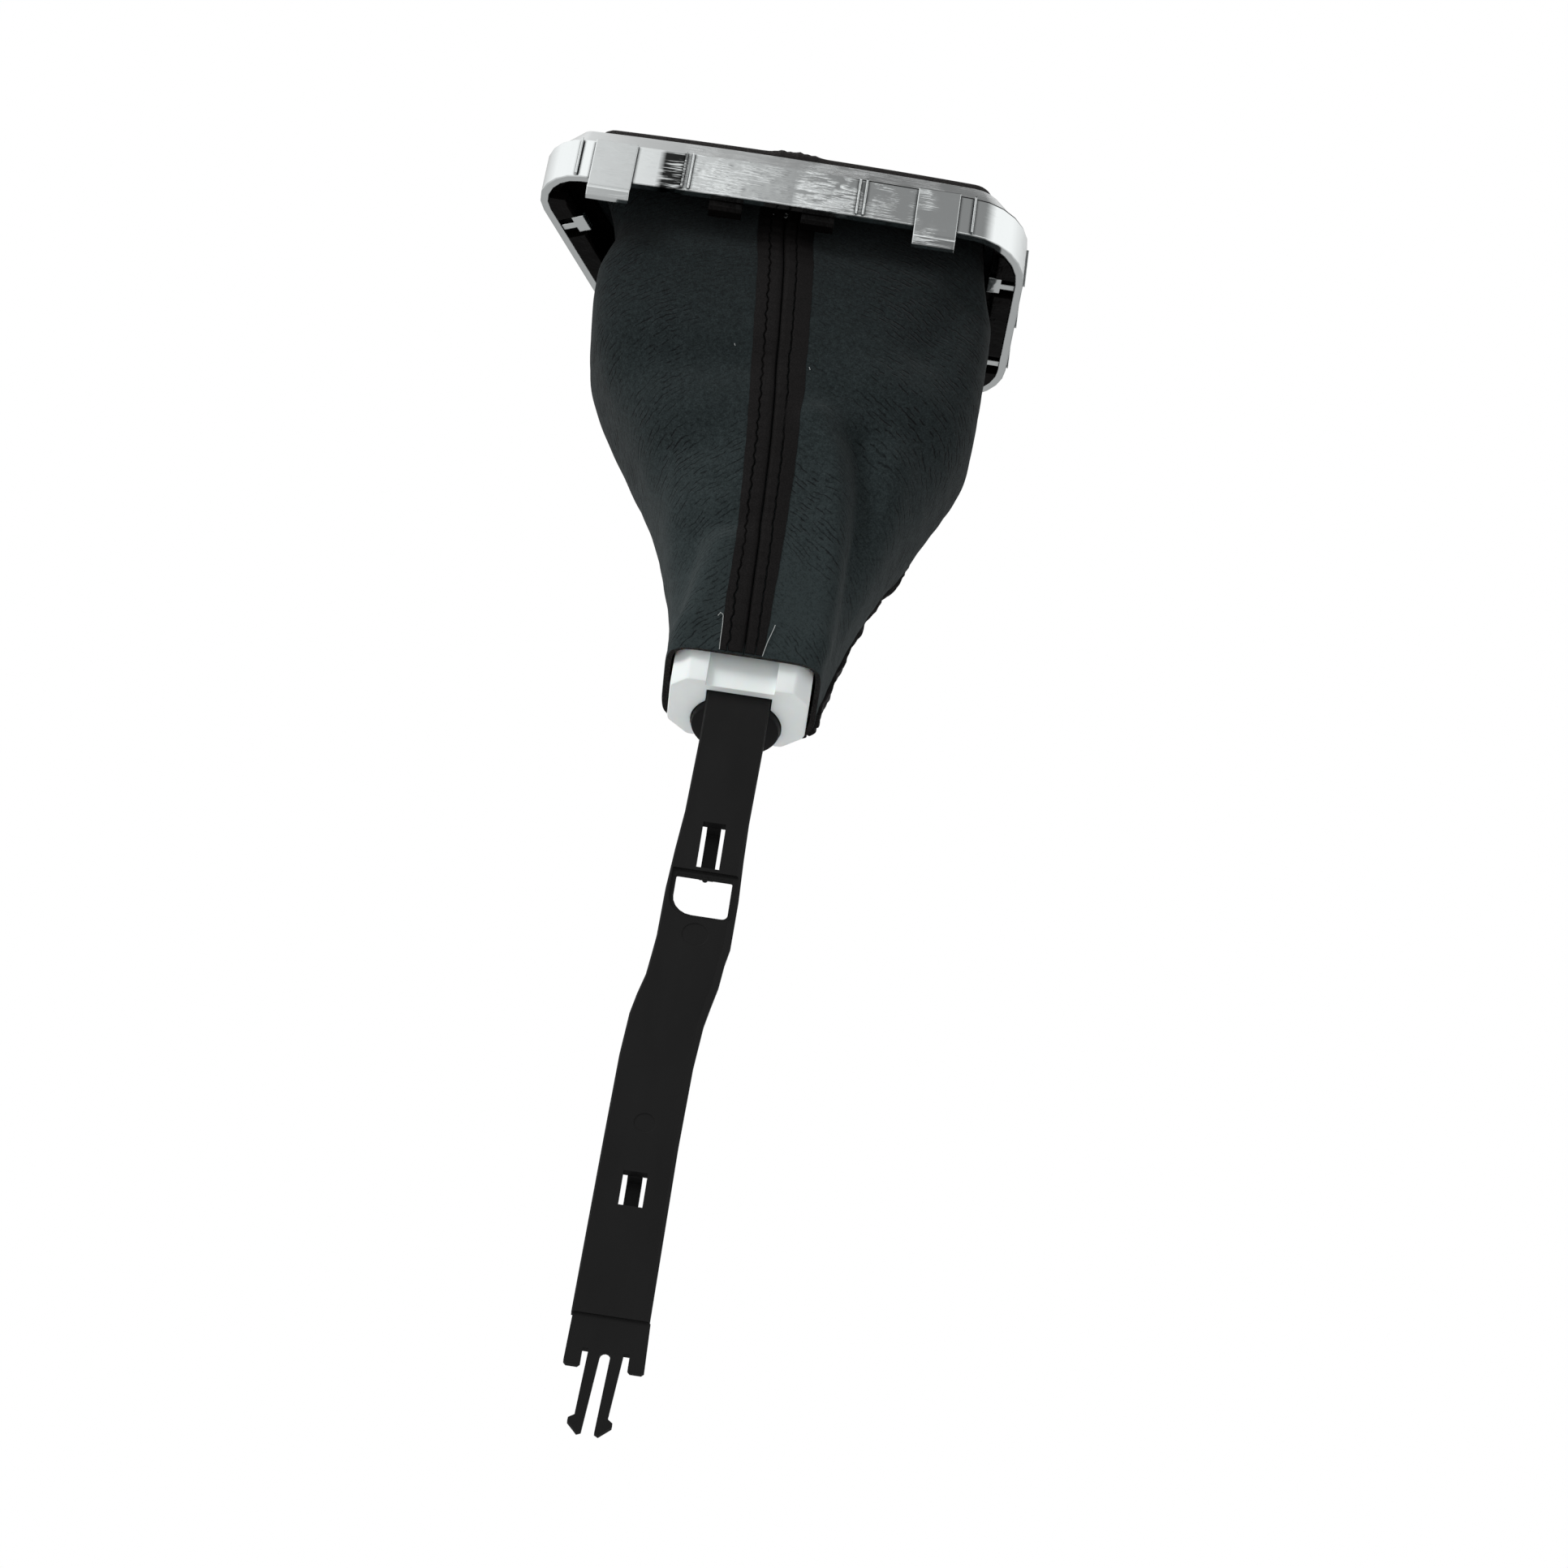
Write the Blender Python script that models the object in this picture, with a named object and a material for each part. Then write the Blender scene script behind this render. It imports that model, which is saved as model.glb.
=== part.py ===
"""Gear knob with a reverse lifter and a sewn gaiter that hangs down through its bezel.

The origin is on the bezel's bottom rim, at the middle of its near side.
X runs along that side, Y away from it and Z up, so the lifter strip hangs towards -Z.
"""
import math

import bmesh
import bpy
from mathutils import Matrix, Vector

MM = 0.001

# Clearances
GAP = 0.3 * MM
SLIDE_GAP = 0.3 * MM
OVERLAP = 0.6 * MM

# Bezel plan: a trapezoid with a slanted left side and a near side that bows outwards
BEZEL_LEFT = -70.0 * MM
BEZEL_RIGHT = 67.5 * MM
BEZEL_DEPTH = 68.0 * MM
BEZEL_SLANT = math.radians(27.0)
BEZEL_CROWN = 1.0 * MM
RADIUS_NEAR_LEFT = 11.0 * MM
RADIUS_NEAR_RIGHT = 17.5 * MM
RADIUS_FAR_RIGHT = 14.0 * MM
RADIUS_FAR_LEFT = 14.0 * MM
MIN_RADIUS = 2.5 * MM

# Bezel section
WALL = 2.2 * MM
BAND_HEIGHT = 14.4 * MM
LEDGE = 1.3 * MM
RING_STEP = 0.7 * MM
RING_WIDTH = 10.0 * MM
RING_RISE = 10.6 * MM
RING_SHEET = 2.4 * MM

# Fins that stand on the band. Setbacks are from the left and right extremes, or the near and far lines
FIN_WIDTH = 0.55 * MM
FIN_PROUD = 0.55 * MM
FIN_PITCH = 1.9 * MM
DOUBLE_FIN_SETBACKS = (40.0 * MM, 48.5 * MM)
SINGLE_FIN_SETBACKS = (9.6 * MM, 16.9 * MM)
RIGHT_FIN_SETBACKS = (17.6 * MM, 15.4 * MM)

# Snap hooks on the long sides
HOOK_WIDTH = 11.8 * MM
HOOK_SETBACKS = (19.4 * MM, 27.1 * MM)
FAR_HOOK_SETBACKS = (20.3 * MM, 27.1 * MM)
HOOK_PROUD = 0.7 * MM
HOOK_THICK = 1.8 * MM
HOOK_DROP = 7.4 * MM
HOOK_BARB = 1.0 * MM
HOOK_BARB_HEIGHT = 3.6 * MM

# T-shaped claws inside the short sides, which hold the inner frame from below
POST_STEM = 2.0 * MM
POST_HEAD_WIDTH = 5.8 * MM
POST_HEAD_THICK = 3.6 * MM
POST_REACH = 7.6 * MM
POST_BOTTOM = 0.3 * MM
POST_HEIGHT = 2.0 * MM
RIGHT_POST_SETBACKS = (19.3 * MM, 16.3 * MM)
LEFT_POST_SETBACKS = (22.1 * MM, 19.9 * MM)

# Inner frame
FRAME_WALL = 2.4 * MM
PAD_WIDTH = 5.8 * MM
PAD_BOTTOM = -0.5 * MM
PAD_CHAMFER = 0.8 * MM
PAD_CLEAR = 0.8 * MM
RIGHT_PAD_SETBACKS = (7.1 * MM, 5.9 * MM)
LEFT_PAD_SETBACKS = (10.1 * MM, 7.9 * MM)
FRAME_FLANGE = 1.8 * MM
FRAME_FLANGE_TOP = 12.2 * MM
FRAME_INNER = 9.3 * MM
TAB_WIDTH = 9.2 * MM
TAB_DEPTH = 3.6 * MM
TAB_DROP = 2.8 * MM
TAB_CENTRES_X = (-18.0 * MM, 7.8 * MM)
TAB_CHAMFER = 0.9 * MM

# Gaiter
LEATHER = 1.4 * MM
HEM_OUTER = 3.6 * MM
ROLL_TOP = 31.5 * MM
ROLL_RADIUS = 2.4 * MM
ROLL_STEPS = (1.4 * MM, 3.4 * MM, 2.2 * MM, 7.0 * MM, 16.0 * MM)
MOUTH_SLACK = 0.5 * MM
MOUTH_REAR_SLACK = 5.4 * MM
COLLAR_BARE = 10.0 * MM
FLAP_THICK = 1.1 * MM
FLAP_HALF_ANGLE = math.radians(16.5)
SEAM_HALF_ANGLE = math.radians(0.6)
REAR_SEAM_ANGLE = math.radians(30.0)
SEAM_TOP_X = -1.3 * MM

# Knob, stem and lifter share one upright axis
AXIS_X = 7.1 * MM
AXIS_Y = 37.0 * MM
STEM_RADIUS = 11.8 * MM
STEM_BORE_RADIUS = 6.5 * MM
STEM_PROUD = 2.0 * MM
STEM_IN_KNOB = 23.0 * MM
STEM_CROWN = 7.0 * MM
STEM_CHAMFER = 1.0 * MM

# Collar
COLLAR_BOTTOM = -150.0 * MM
COLLAR_HEIGHT = 20.0 * MM
COLLAR_HALF_WIDTH = 18.3 * MM
COLLAR_NEAR = 17.0 * MM
COLLAR_FAR = 8.2 * MM
COLLAR_NEAR_CHAMFER = 4.2 * MM
COLLAR_FAR_CHAMFER = 5.6 * MM
COLLAR_EDGE = 1.2 * MM
PANEL_RECESS = 1.6 * MM
PANEL_WALL = 2.0 * MM
PANEL_MARGIN = 0.4 * MM

# Lift ring
RING_LIFTED = 2.0 * MM
RING_HEIGHT = 11.0 * MM
RING_WALL = 0.7 * MM
RING_WAIST = 0.6 * MM
RING_EDGE = 1.0 * MM
LIFT_TRAVEL = 9.0 * MM

# Knob
KNOB_CLEAR = 2.0 * MM
KNOB_HEIGHT = 54.0 * MM
KNOB_NECK_RADIUS = 16.4 * MM
KNOB_RADIUS = 22.5 * MM
KNOB_LIP = 1.6 * MM
CAP_RADIUS = 16.6 * MM
CAP_THICK = 3.4 * MM
CAP_DOME = 1.5 * MM
TRIM_WIDTH = 2.4 * MM
TRIM_HEIGHT = 3.6 * MM

# Lifter strip, with its features at distances below its top
STRIP_THICK = 2.4 * MM
STRIP_UPPER_WIDTH = 16.6 * MM
STRIP_SUNK = 2.8 * MM
STRIP_STEP_DOWN = 211.6 * MM
STRIP_EDGE = 0.4 * MM
STRIP_SIDE = 1.5 * MM
STRIP_GUIDED = 44.0 * MM
CATCH_WIDTH = 10.0 * MM
CATCH_HEIGHT = 2.6 * MM
CATCH_PROUD = 1.0 * MM
CATCH_DOWN = 2.4 * MM
PORT_WIDTH = 14.2 * MM
PORT_DOWN = 86.8 * MM
PORT_HEIGHT = 11.8 * MM
PORT_LEFT_RADIUS = 5.2 * MM
PORT_RIGHT_RADIUS = 1.4 * MM
PORT_TOP_RADIUS = 0.4 * MM
PORT_RIM = 1.2 * MM
PORT_RIM_DEPTH = 0.7 * MM
PORT_NUB = 0.75 * MM
WINDOW_WIDTH = 5.8 * MM
WINDOW_TONGUE = 3.6 * MM
LOOP_SHEET = 1.4 * MM
LOOP_CLEAR = 2.2 * MM
UPPER_WINDOW_DOWN = (70.8 * MM, 84.6 * MM)
LOWER_WINDOW_DOWN = (173.4 * MM, 182.6 * MM)
EJECTOR_MARKS = ((104.5 * MM, 3.3 * MM), (160.0 * MM, 2.6 * MM))
EJECTOR_DEPTH = 0.15 * MM
FORK_THICK = 1.8 * MM
FORK_SHIFT = 0.3 * MM
FORK_LEAN = -1.2 * MM
FORK_SLOT_DOWN = 220.2 * MM
FORK_SHOULDER_DOWN = 224.4 * MM
FORK_TIP_DOWN = 241.0 * MM
FORK_WIDTH = 18.8 * MM
FORK_PRONG = 3.9 * MM
FORK_SIDE_SLOT = 1.4 * MM
FORK_LEG = 2.9 * MM
FORK_LEG_TAPER = 0.7 * MM
FORK_BARB = 1.3 * MM
FORK_BARB_HEIGHT = 4.2 * MM

# Worked out from the sizes above
NEAR_LINE_Y = BEZEL_CROWN - WALL / 2
FAR_LINE_Y = NEAR_LINE_Y + BEZEL_DEPTH
RIM_NEAR_Y = NEAR_LINE_Y - BEZEL_CROWN
FRAME_OUTER = WALL + GAP
FRAME_BOTTOM = POST_BOTTOM + POST_HEIGHT + GAP
HEM_BOTTOM = FRAME_FLANGE_TOP + GAP
STRIP_FRONT_Y = AXIS_Y - COLLAR_NEAR + PANEL_RECESS + PANEL_WALL + SLIDE_GAP
STRIP_BACK_Y = STRIP_FRONT_Y + STRIP_THICK
BORE_RADIUS = STEM_RADIUS + SLIDE_GAP
COLLAR_TOP = COLLAR_BOTTOM + COLLAR_HEIGHT
MOUTH_Z = COLLAR_BOTTOM + COLLAR_BARE
RING_BOTTOM = COLLAR_TOP + RING_LIFTED
RING_TOP = RING_BOTTOM + RING_HEIGHT
RING_WAIST_RADIUS = math.hypot(STRIP_UPPER_WIDTH / 2 + GAP, AXIS_Y - STRIP_FRONT_Y + GAP) + RING_WALL
RING_RADIUS = RING_WAIST_RADIUS + RING_WAIST
KNOB_BOTTOM = RING_TOP + LIFT_TRAVEL + KNOB_CLEAR
KNOB_TOP = KNOB_BOTTOM + KNOB_HEIGHT
STEM_BOTTOM = COLLAR_BOTTOM - STEM_PROUD
STEM_TOP = KNOB_BOTTOM + STEM_IN_KNOB
STEM_BORE_TOP = STEM_TOP - STEM_CROWN
STRIP_TOP = RING_TOP - STRIP_SUNK
CATCH_TOP = STRIP_TOP - CATCH_DOWN
STRIP_STEP_Z = STRIP_TOP - STRIP_STEP_DOWN
PORT_TOP = STRIP_TOP - PORT_DOWN
WINDOWS = [[STRIP_TOP - down for down in window] for window in (UPPER_WINDOW_DOWN, LOWER_WINDOW_DOWN)]
FORK_SLOT_TOP = STRIP_TOP - FORK_SLOT_DOWN
FORK_SHOULDER = STRIP_TOP - FORK_SHOULDER_DOWN
FORK_TIP = STRIP_TOP - FORK_TIP_DOWN


def clear_scene():
    for item in list(bpy.data.objects):
        bpy.data.objects.remove(item, do_unlink=True)


def make_material(name, colour, roughness, metallic=0.0):
    """A plain Principled material; colour is linear RGB."""
    material = bpy.data.materials.new(name)
    material.use_nodes = True
    shader = material.node_tree.nodes["Principled BSDF"]
    shader.inputs["Base Color"].default_value = (*colour, 1.0)
    shader.inputs["Roughness"].default_value = roughness
    shader.inputs["Metallic"].default_value = metallic
    material.diffuse_color = (*colour, 1.0)
    return material


def add_object(name, bm, material=None, cutter=False):
    """Turn a bmesh into an object with its faces pointing out."""
    bmesh.ops.recalc_face_normals(bm, faces=bm.faces)
    mesh = bpy.data.meshes.new(name)
    bm.to_mesh(mesh)
    bm.free()
    item = bpy.data.objects.new(name, mesh)
    bpy.context.scene.collection.objects.link(item)
    if material:
        mesh.materials.append(material)
    if cutter:
        item.hide_render = True
        item.display_type = "WIRE"
    return item


def skin(loops, ring=False):
    """Join loops of equal length into one closed skin, as a ring or with two capped ends."""
    bm = bmesh.new()
    rows = [[bm.verts.new(point) for point in loop] for loop in loops]
    pairs = list(zip(rows, rows[1:]))
    if ring:
        pairs.append((rows[-1], rows[0]))
    for lower, upper in pairs:
        for i, start in enumerate(lower):
            j = (i + 1) % len(lower)
            bm.faces.new((start, lower[j], upper[j], upper[i]))
    if not ring:
        bm.faces.new(rows[0])
        bm.faces.new(rows[-1])
    return bm


def sheet(outer, inner):
    """Close a sheet given as two grids of points, its two sides, with a rim of quads."""
    bm = bmesh.new()
    front = [[bm.verts.new(point) for point in row] for row in outer]
    rear = [[bm.verts.new(point) for point in row] for row in inner]
    last_row = len(front) - 1
    last = len(front[0]) - 1
    for i in range(last_row):
        for j in range(last):
            bm.faces.new((front[i][j], front[i][j + 1], front[i + 1][j + 1], front[i + 1][j]))
            bm.faces.new((rear[i][j], rear[i + 1][j], rear[i + 1][j + 1], rear[i][j + 1]))
        for j in (0, last):
            bm.faces.new((front[i][j], front[i + 1][j], rear[i + 1][j], rear[i][j]))
    for j in range(last):
        for i in (0, last_row):
            bm.faces.new((front[i][j], front[i][j + 1], rear[i][j + 1], rear[i][j]))
    return bm


def block(x0, x1, y0, y1, z0, z1):
    """A box between two corners."""
    loops = []
    for z in (z0, z1):
        loops.append([Vector((x, y, z)) for x, y in ((x0, y0), (x1, y0), (x1, y1), (x0, y1))])
    return skin(loops)


def prism(points, axis, start, end):
    """Extrude a flat outline along X, Y or Z; the outline holds the other two coordinates in order."""
    def place(a, b, along):
        if axis == "X":
            return Vector((along, a, b))
        if axis == "Y":
            return Vector((a, along, b))
        return Vector((a, b, along))
    return skin([[place(a, b, along) for a, b in points] for along in (start, end)])


def turn(profile, segments, centre=(AXIS_X, AXIS_Y)):
    """Turn a profile of (radius, z) points about an upright axis into a closed ring."""
    loops = []
    for radius, z in profile:
        loop = []
        for i in range(segments):
            angle = 2 * math.pi * i / segments
            loop.append(Vector((centre[0] + radius * math.cos(angle), centre[1] + radius * math.sin(angle), z)))
        loops.append(loop)
    return loops


def cylinder(radius, z0, z1, segments, centre=(AXIS_X, AXIS_Y)):
    return skin(turn([(radius, z0), (radius, z1)], segments, centre))


def combine(target, operation, tools):
    """Apply Booleans to the target and delete the tool objects."""
    for tool in tools:
        step = target.modifiers.new(tool.name, "BOOLEAN")
        step.operation = operation
        step.object = tool
        step.solver = "EXACT"
    bpy.context.view_layer.update()
    graph = bpy.context.evaluated_depsgraph_get()
    mesh = bpy.data.meshes.new_from_object(target.evaluated_get(graph))
    target.modifiers.clear()
    target.data = mesh
    for tool in tools:
        bpy.data.objects.remove(tool, do_unlink=True)


def tool_from(bm, name="tool"):
    return add_object(name, bm, cutter=True)


def finish(item, sharp_degrees=32.0):
    """Smooth shading with sharp edges kept."""
    item.data.shade_smooth()
    item.data.set_sharp_from_angle(angle=math.radians(sharp_degrees))


def rounded(corners, radii, arc_steps, side_steps, crown=0.0):
    """Round a polygon's corners; the first side may bow outwards by crown."""
    count = len(corners)
    arcs = []
    for i, corner in enumerate(corners):
        here = Vector(corner)
        back = (Vector(corners[i - 1]) - here).normalized()
        ahead = (Vector(corners[(i + 1) % count]) - here).normalized()
        half = back.angle(ahead) / 2
        reach = radii[i] / math.tan(half)
        centre = here + (back + ahead).normalized() * (radii[i] / math.sin(half))
        start = here + back * reach - centre
        sweep = math.pi - 2 * half
        arc = []
        for step in range(arc_steps + 1):
            angle = sweep * step / arc_steps
            arc.append(centre + Matrix.Rotation(angle, 2) @ start)
        arcs.append(arc)
    points = []
    for i, arc in enumerate(arcs):
        points.extend(arc)
        first = arc[-1]
        last = arcs[(i + 1) % count][0]
        for step in range(1, side_steps[i]):
            share = step / side_steps[i]
            point = first.lerp(last, share)
            if i == 0:
                point.y -= crown * (1 - (2 * share - 1) ** 2)
            points.append(point)
    return points


def bezel_corners(inset):
    """The sharp corners of the bezel's plan, moved inwards: near left, near right, far right, far left."""
    arc_x = BEZEL_LEFT + RADIUS_NEAR_LEFT
    sharp_x = arc_x - RADIUS_NEAR_LEFT * (1 + math.sin(BEZEL_SLANT)) / math.cos(BEZEL_SLANT)
    near = NEAR_LINE_Y + inset
    far = FAR_LINE_Y - inset
    right = BEZEL_RIGHT - inset

    def left(y):
        return sharp_x + (y - NEAR_LINE_Y) * math.tan(BEZEL_SLANT) + inset / math.cos(BEZEL_SLANT)

    return [(left(near), near), (right, near), (right, far), (left(far), far)]


def bezel_outline(inset):
    """The bezel's plan, moved inwards from its outer wall."""
    radii = (RADIUS_NEAR_LEFT, RADIUS_NEAR_RIGHT, RADIUS_FAR_RIGHT, RADIUS_FAR_LEFT)
    radii = [max(radius - inset, MIN_RADIUS) for radius in radii]
    return rounded(bezel_corners(inset), radii, 6, (8, 3, 6, 3), BEZEL_CROWN)


def near_wall_y(x):
    """Where the near wall's outer face is at a place along X."""
    corners = bezel_corners(0.0)
    half = (corners[1][0] - corners[0][0]) / 2
    middle = (corners[1][0] + corners[0][0]) / 2
    share = min(1.0, abs(x - middle) / half)
    return NEAR_LINE_Y - BEZEL_CROWN * (1 - share ** 2)


def left_wall_x(y, inset=0.0):
    """Where the slanted left wall is at a place along Y."""
    corners = bezel_corners(inset)
    share = (y - corners[0][1]) / (corners[3][1] - corners[0][1])
    return corners[0][0] + (corners[3][0] - corners[0][0]) * share


def along_x(setbacks):
    """X places set back from the bezel's left and right extremes."""
    return [BEZEL_LEFT + setbacks[0], BEZEL_RIGHT - setbacks[1]]


def along_y(setbacks):
    """Y places set back from the bezel's near and far lines."""
    return [NEAR_LINE_Y + setbacks[0], FAR_LINE_Y - setbacks[1]]


def lift_to(outline, z):
    return [Vector((point.x, point.y, z)) for point in outline]


def swept(section):
    """Sweep a closed section of (inset, z) points round the bezel's plan."""
    return skin([lift_to(bezel_outline(inset), z) for inset, z in section], ring=True)


def hook_profile(wall_y, outward):
    """Side view of a snap hook in (y, z); outward is -1 on the near side and 1 on the far side."""
    outer = wall_y + outward * HOOK_PROUD
    inner = outer - outward * HOOK_THICK
    barb = outer + outward * HOOK_BARB
    bottom = -HOOK_DROP
    return [
        (outer, BAND_HEIGHT - 0.8 * MM),
        (inner, BAND_HEIGHT - 0.8 * MM),
        (inner, bottom),
        (outer - outward * 0.3 * MM, bottom),
        (barb, bottom + HOOK_BARB_HEIGHT * 0.55),
        (barb, bottom + HOOK_BARB_HEIGHT * 0.75),
        (outer, bottom + HOOK_BARB_HEIGHT),
    ]


def post_outline():
    """Plan of a T-post in its own axes: x runs inwards from the wall's inner face."""
    stem = POST_STEM / 2
    head = POST_HEAD_WIDTH / 2
    neck = POST_REACH - POST_HEAD_THICK
    return [
        (-OVERLAP, -stem), (neck, -stem), (neck, -head), (neck + POST_HEAD_THICK, -head),
        (neck + POST_HEAD_THICK, head), (neck, head), (neck, stem), (-OVERLAP, stem),
    ]


def post_frames():
    """Place and inward direction of each T-post's root on the wall's inner face."""
    frames = []
    for y in along_y(RIGHT_POST_SETBACKS):
        frames.append((Vector((BEZEL_RIGHT - WALL, y)), math.pi))
    for y in along_y(LEFT_POST_SETBACKS):
        frames.append((Vector((left_wall_x(y, WALL), y)), -BEZEL_SLANT))
    return frames


def placed(points, frame):
    origin, angle = frame
    turned = Matrix.Rotation(angle, 2)
    return [tuple(origin + turned @ Vector(point)) for point in points]


def make_bezel(chrome):
    ring_foot = BAND_HEIGHT + RING_STEP
    ring_top = ring_foot + RING_RISE
    section = [
        (0.25 * MM, 0.0), (0.0, 0.25 * MM), (0.0, BAND_HEIGHT - 0.5 * MM), (0.5 * MM, BAND_HEIGHT),
        (LEDGE, BAND_HEIGHT), (LEDGE, ring_foot), (RING_WIDTH - 2.0 * MM, ring_top - 0.4 * MM),
        (RING_WIDTH - 0.9 * MM, ring_top), (RING_WIDTH - 0.2 * MM, ring_top - 0.5 * MM),
        (RING_WIDTH, ring_top - RING_SHEET), (RING_WIDTH - 1.0 * MM, ring_top - RING_SHEET - 0.3 * MM),
        (WALL, BAND_HEIGHT - 0.2 * MM), (WALL, 0.0),
    ]
    bezel = add_object("bezel", swept(section), chrome)
    tools = []
    places = along_x(SINGLE_FIN_SETBACKS)
    for x in along_x(DOUBLE_FIN_SETBACKS):
        places += [x - FIN_PITCH / 2, x + FIN_PITCH / 2]
    for x in places:
        y = near_wall_y(x)
        fin = block(x - FIN_WIDTH / 2, x + FIN_WIDTH / 2, y - FIN_PROUD, y + OVERLAP, 0.3 * MM, BAND_HEIGHT - 0.6 * MM)
        tools.append(tool_from(fin))
    first, last = along_y(RIGHT_FIN_SETBACKS)
    for y in (first, (first + last) / 2, last):
        fin = block(BEZEL_RIGHT - OVERLAP, BEZEL_RIGHT + FIN_PROUD, y - FIN_WIDTH / 2, y + FIN_WIDTH / 2,
                    0.3 * MM, BAND_HEIGHT - 0.6 * MM)
        tools.append(tool_from(fin))
    for x in along_x(HOOK_SETBACKS):
        hook = prism(hook_profile(near_wall_y(x), -1), "X", x - HOOK_WIDTH / 2, x + HOOK_WIDTH / 2)
        tools.append(tool_from(hook))
    far_left_x = bezel_corners(0.0)[3][0]
    for x in (far_left_x + FAR_HOOK_SETBACKS[0], BEZEL_RIGHT - FAR_HOOK_SETBACKS[1]):
        hook = prism(hook_profile(FAR_LINE_Y, 1), "X", x - HOOK_WIDTH / 2, x + HOOK_WIDTH / 2)
        tools.append(tool_from(hook))
    for frame in post_frames():
        tools.append(tool_from(prism(placed(post_outline(), frame), "Z", POST_BOTTOM, POST_BOTTOM + POST_HEIGHT)))
    combine(bezel, "UNION", tools)
    finish(bezel)
    return bezel


def frame_tab(x, wall_y, outward):
    """A clip tab under a long side; outward is -1 on the near side and 1 on the far side."""
    outer = wall_y - outward * FRAME_OUTER
    inner = outer - outward * TAB_DEPTH
    top = FRAME_BOTTOM + OVERLAP
    profile = [
        (outer, top), (outer, -TAB_DROP + TAB_CHAMFER), (outer - outward * TAB_CHAMFER, -TAB_DROP),
        (inner, -TAB_DROP), (inner, top),
    ]
    return prism(profile, "X", x - TAB_WIDTH / 2, x + TAB_WIDTH / 2)


def make_pads():
    """Pads under the short sides: a swept ring, cut away at the long sides and round the claws."""
    top = FRAME_BOTTOM + OVERLAP
    inner = FRAME_OUTER + PAD_WIDTH
    pads = tool_from(swept([
        (FRAME_OUTER, PAD_BOTTOM), (FRAME_OUTER, top), (inner, top), (inner, PAD_BOTTOM + PAD_CHAMFER),
        (inner - PAD_CHAMFER, PAD_BOTTOM),
    ]), "pads")
    below = PAD_BOTTOM - OVERLAP
    above = top + OVERLAP
    near = RIM_NEAR_Y
    far = FAR_LINE_Y
    reach = inner - GAP
    core = [
        (left_wall_x(near, reach), near), (BEZEL_RIGHT - reach, near), (BEZEL_RIGHT - reach, far),
        (left_wall_x(far, reach), far),
    ]
    cuts = [tool_from(prism(core, "Z", below, above))]
    for left, right, setbacks in (
        (BEZEL_LEFT, 0.0, LEFT_PAD_SETBACKS), (-OVERLAP, BEZEL_RIGHT, RIGHT_PAD_SETBACKS),
    ):
        first, last = along_y(setbacks)
        cuts.append(tool_from(block(left, right, near, first, below, above)))
        cuts.append(tool_from(block(left, right, last, far, below, above)))
    half = POST_HEAD_WIDTH / 2 + PAD_CLEAR
    slot = [(0.0, -half), (inner, -half), (inner, half), (0.0, half)]
    for frame in post_frames():
        cuts.append(tool_from(prism(placed(slot, frame), "Z", below, above)))
    combine(pads, "DIFFERENCE", cuts)
    return pads


def make_inner_frame(plastic):
    outer = FRAME_OUTER
    inner = FRAME_OUTER + FRAME_WALL
    flange_bottom = FRAME_FLANGE_TOP - FRAME_FLANGE
    section = [
        (outer, FRAME_BOTTOM), (outer, FRAME_FLANGE_TOP), (FRAME_INNER, FRAME_FLANGE_TOP),
        (FRAME_INNER, flange_bottom), (inner, flange_bottom), (inner, FRAME_BOTTOM),
    ]
    frame = add_object("inner_frame", swept(section), plastic)
    parts = []
    for x in TAB_CENTRES_X:
        parts.append(tool_from(frame_tab(x, near_wall_y(x), -1)))
        parts.append(tool_from(frame_tab(x, FAR_LINE_Y, 1)))
    parts.append(make_pads())
    combine(frame, "UNION", parts)
    finish(frame)
    return frame


def squircle(left, right, near, far, power):
    """A rounded box in plan, as a dense polygon."""
    middle = Vector(((left + right) / 2, (near + far) / 2))
    half = Vector(((right - left) / 2, (far - near) / 2))
    points = []
    for i in range(120):
        angle = 2 * math.pi * i / 120
        c, s = math.cos(angle), math.sin(angle)
        reach = (abs(c) ** power + abs(s) ** power) ** (-1 / power)
        points.append(middle + Vector((half.x * c * reach, half.y * s * reach)))
    return points


def ray_hit(polygon, origin, angle):
    """The point where a ray from inside leaves a polygon."""
    direction = Vector((math.cos(angle), math.sin(angle)))
    for i, start in enumerate(polygon):
        edge = polygon[(i + 1) % len(polygon)] - start
        offset = start - origin
        area = direction.cross(edge)
        if abs(area) < 1e-15:
            continue
        along = offset.cross(edge) / area
        share = offset.cross(direction) / area
        if along > 0 and -1e-9 <= share <= 1 + 1e-9:
            return origin + direction * along
    raise ValueError("the ray's origin is outside the outline")


# Plan of the hanging gaiter, from the rim's height down to the mouth: how far up from the mouth as a share,
# how much wider than the mouth to the left, right, near and far side, the squareness and the near seam's
# place beside the axis
GAITER_PLANS = (
    (1.000, 33.8, 30.1, 7.0, 4.9, 5.0, -8.1),
    (0.886, 36.9, 32.1, 10.0, 8.4, 4.5, -6.5),
    (0.750, 34.9, 31.7, 11.0, 9.4, 4.0, -5.1),
    (0.643, 29.3, 31.1, 10.5, 11.9, 3.6, -4.0),
    (0.543, 21.5, 26.5, 9.0, 12.4, 3.2, -3.0),
    (0.443, 13.9, 20.3, 7.5, 11.4, 3.0, -2.2),
    (0.350, 8.1, 14.3, 5.9, 10.0, 2.8, -1.7),
    (0.257, 4.1, 9.3, 4.5, 8.0, 2.8, -1.2),
    (0.179, 1.1, 5.3, 3.3, 7.2, 2.8, -1.0),
    (0.107, 0.0, 2.7, 2.3, 6.0, 3.2, -0.8),
    (0.050, 0.0, 1.1, 1.3, 3.2, 5.0, -0.6),
    (0.000, 0.0, 0.0, 0.0, 0.0, 6.5, -0.5),
)


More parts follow.
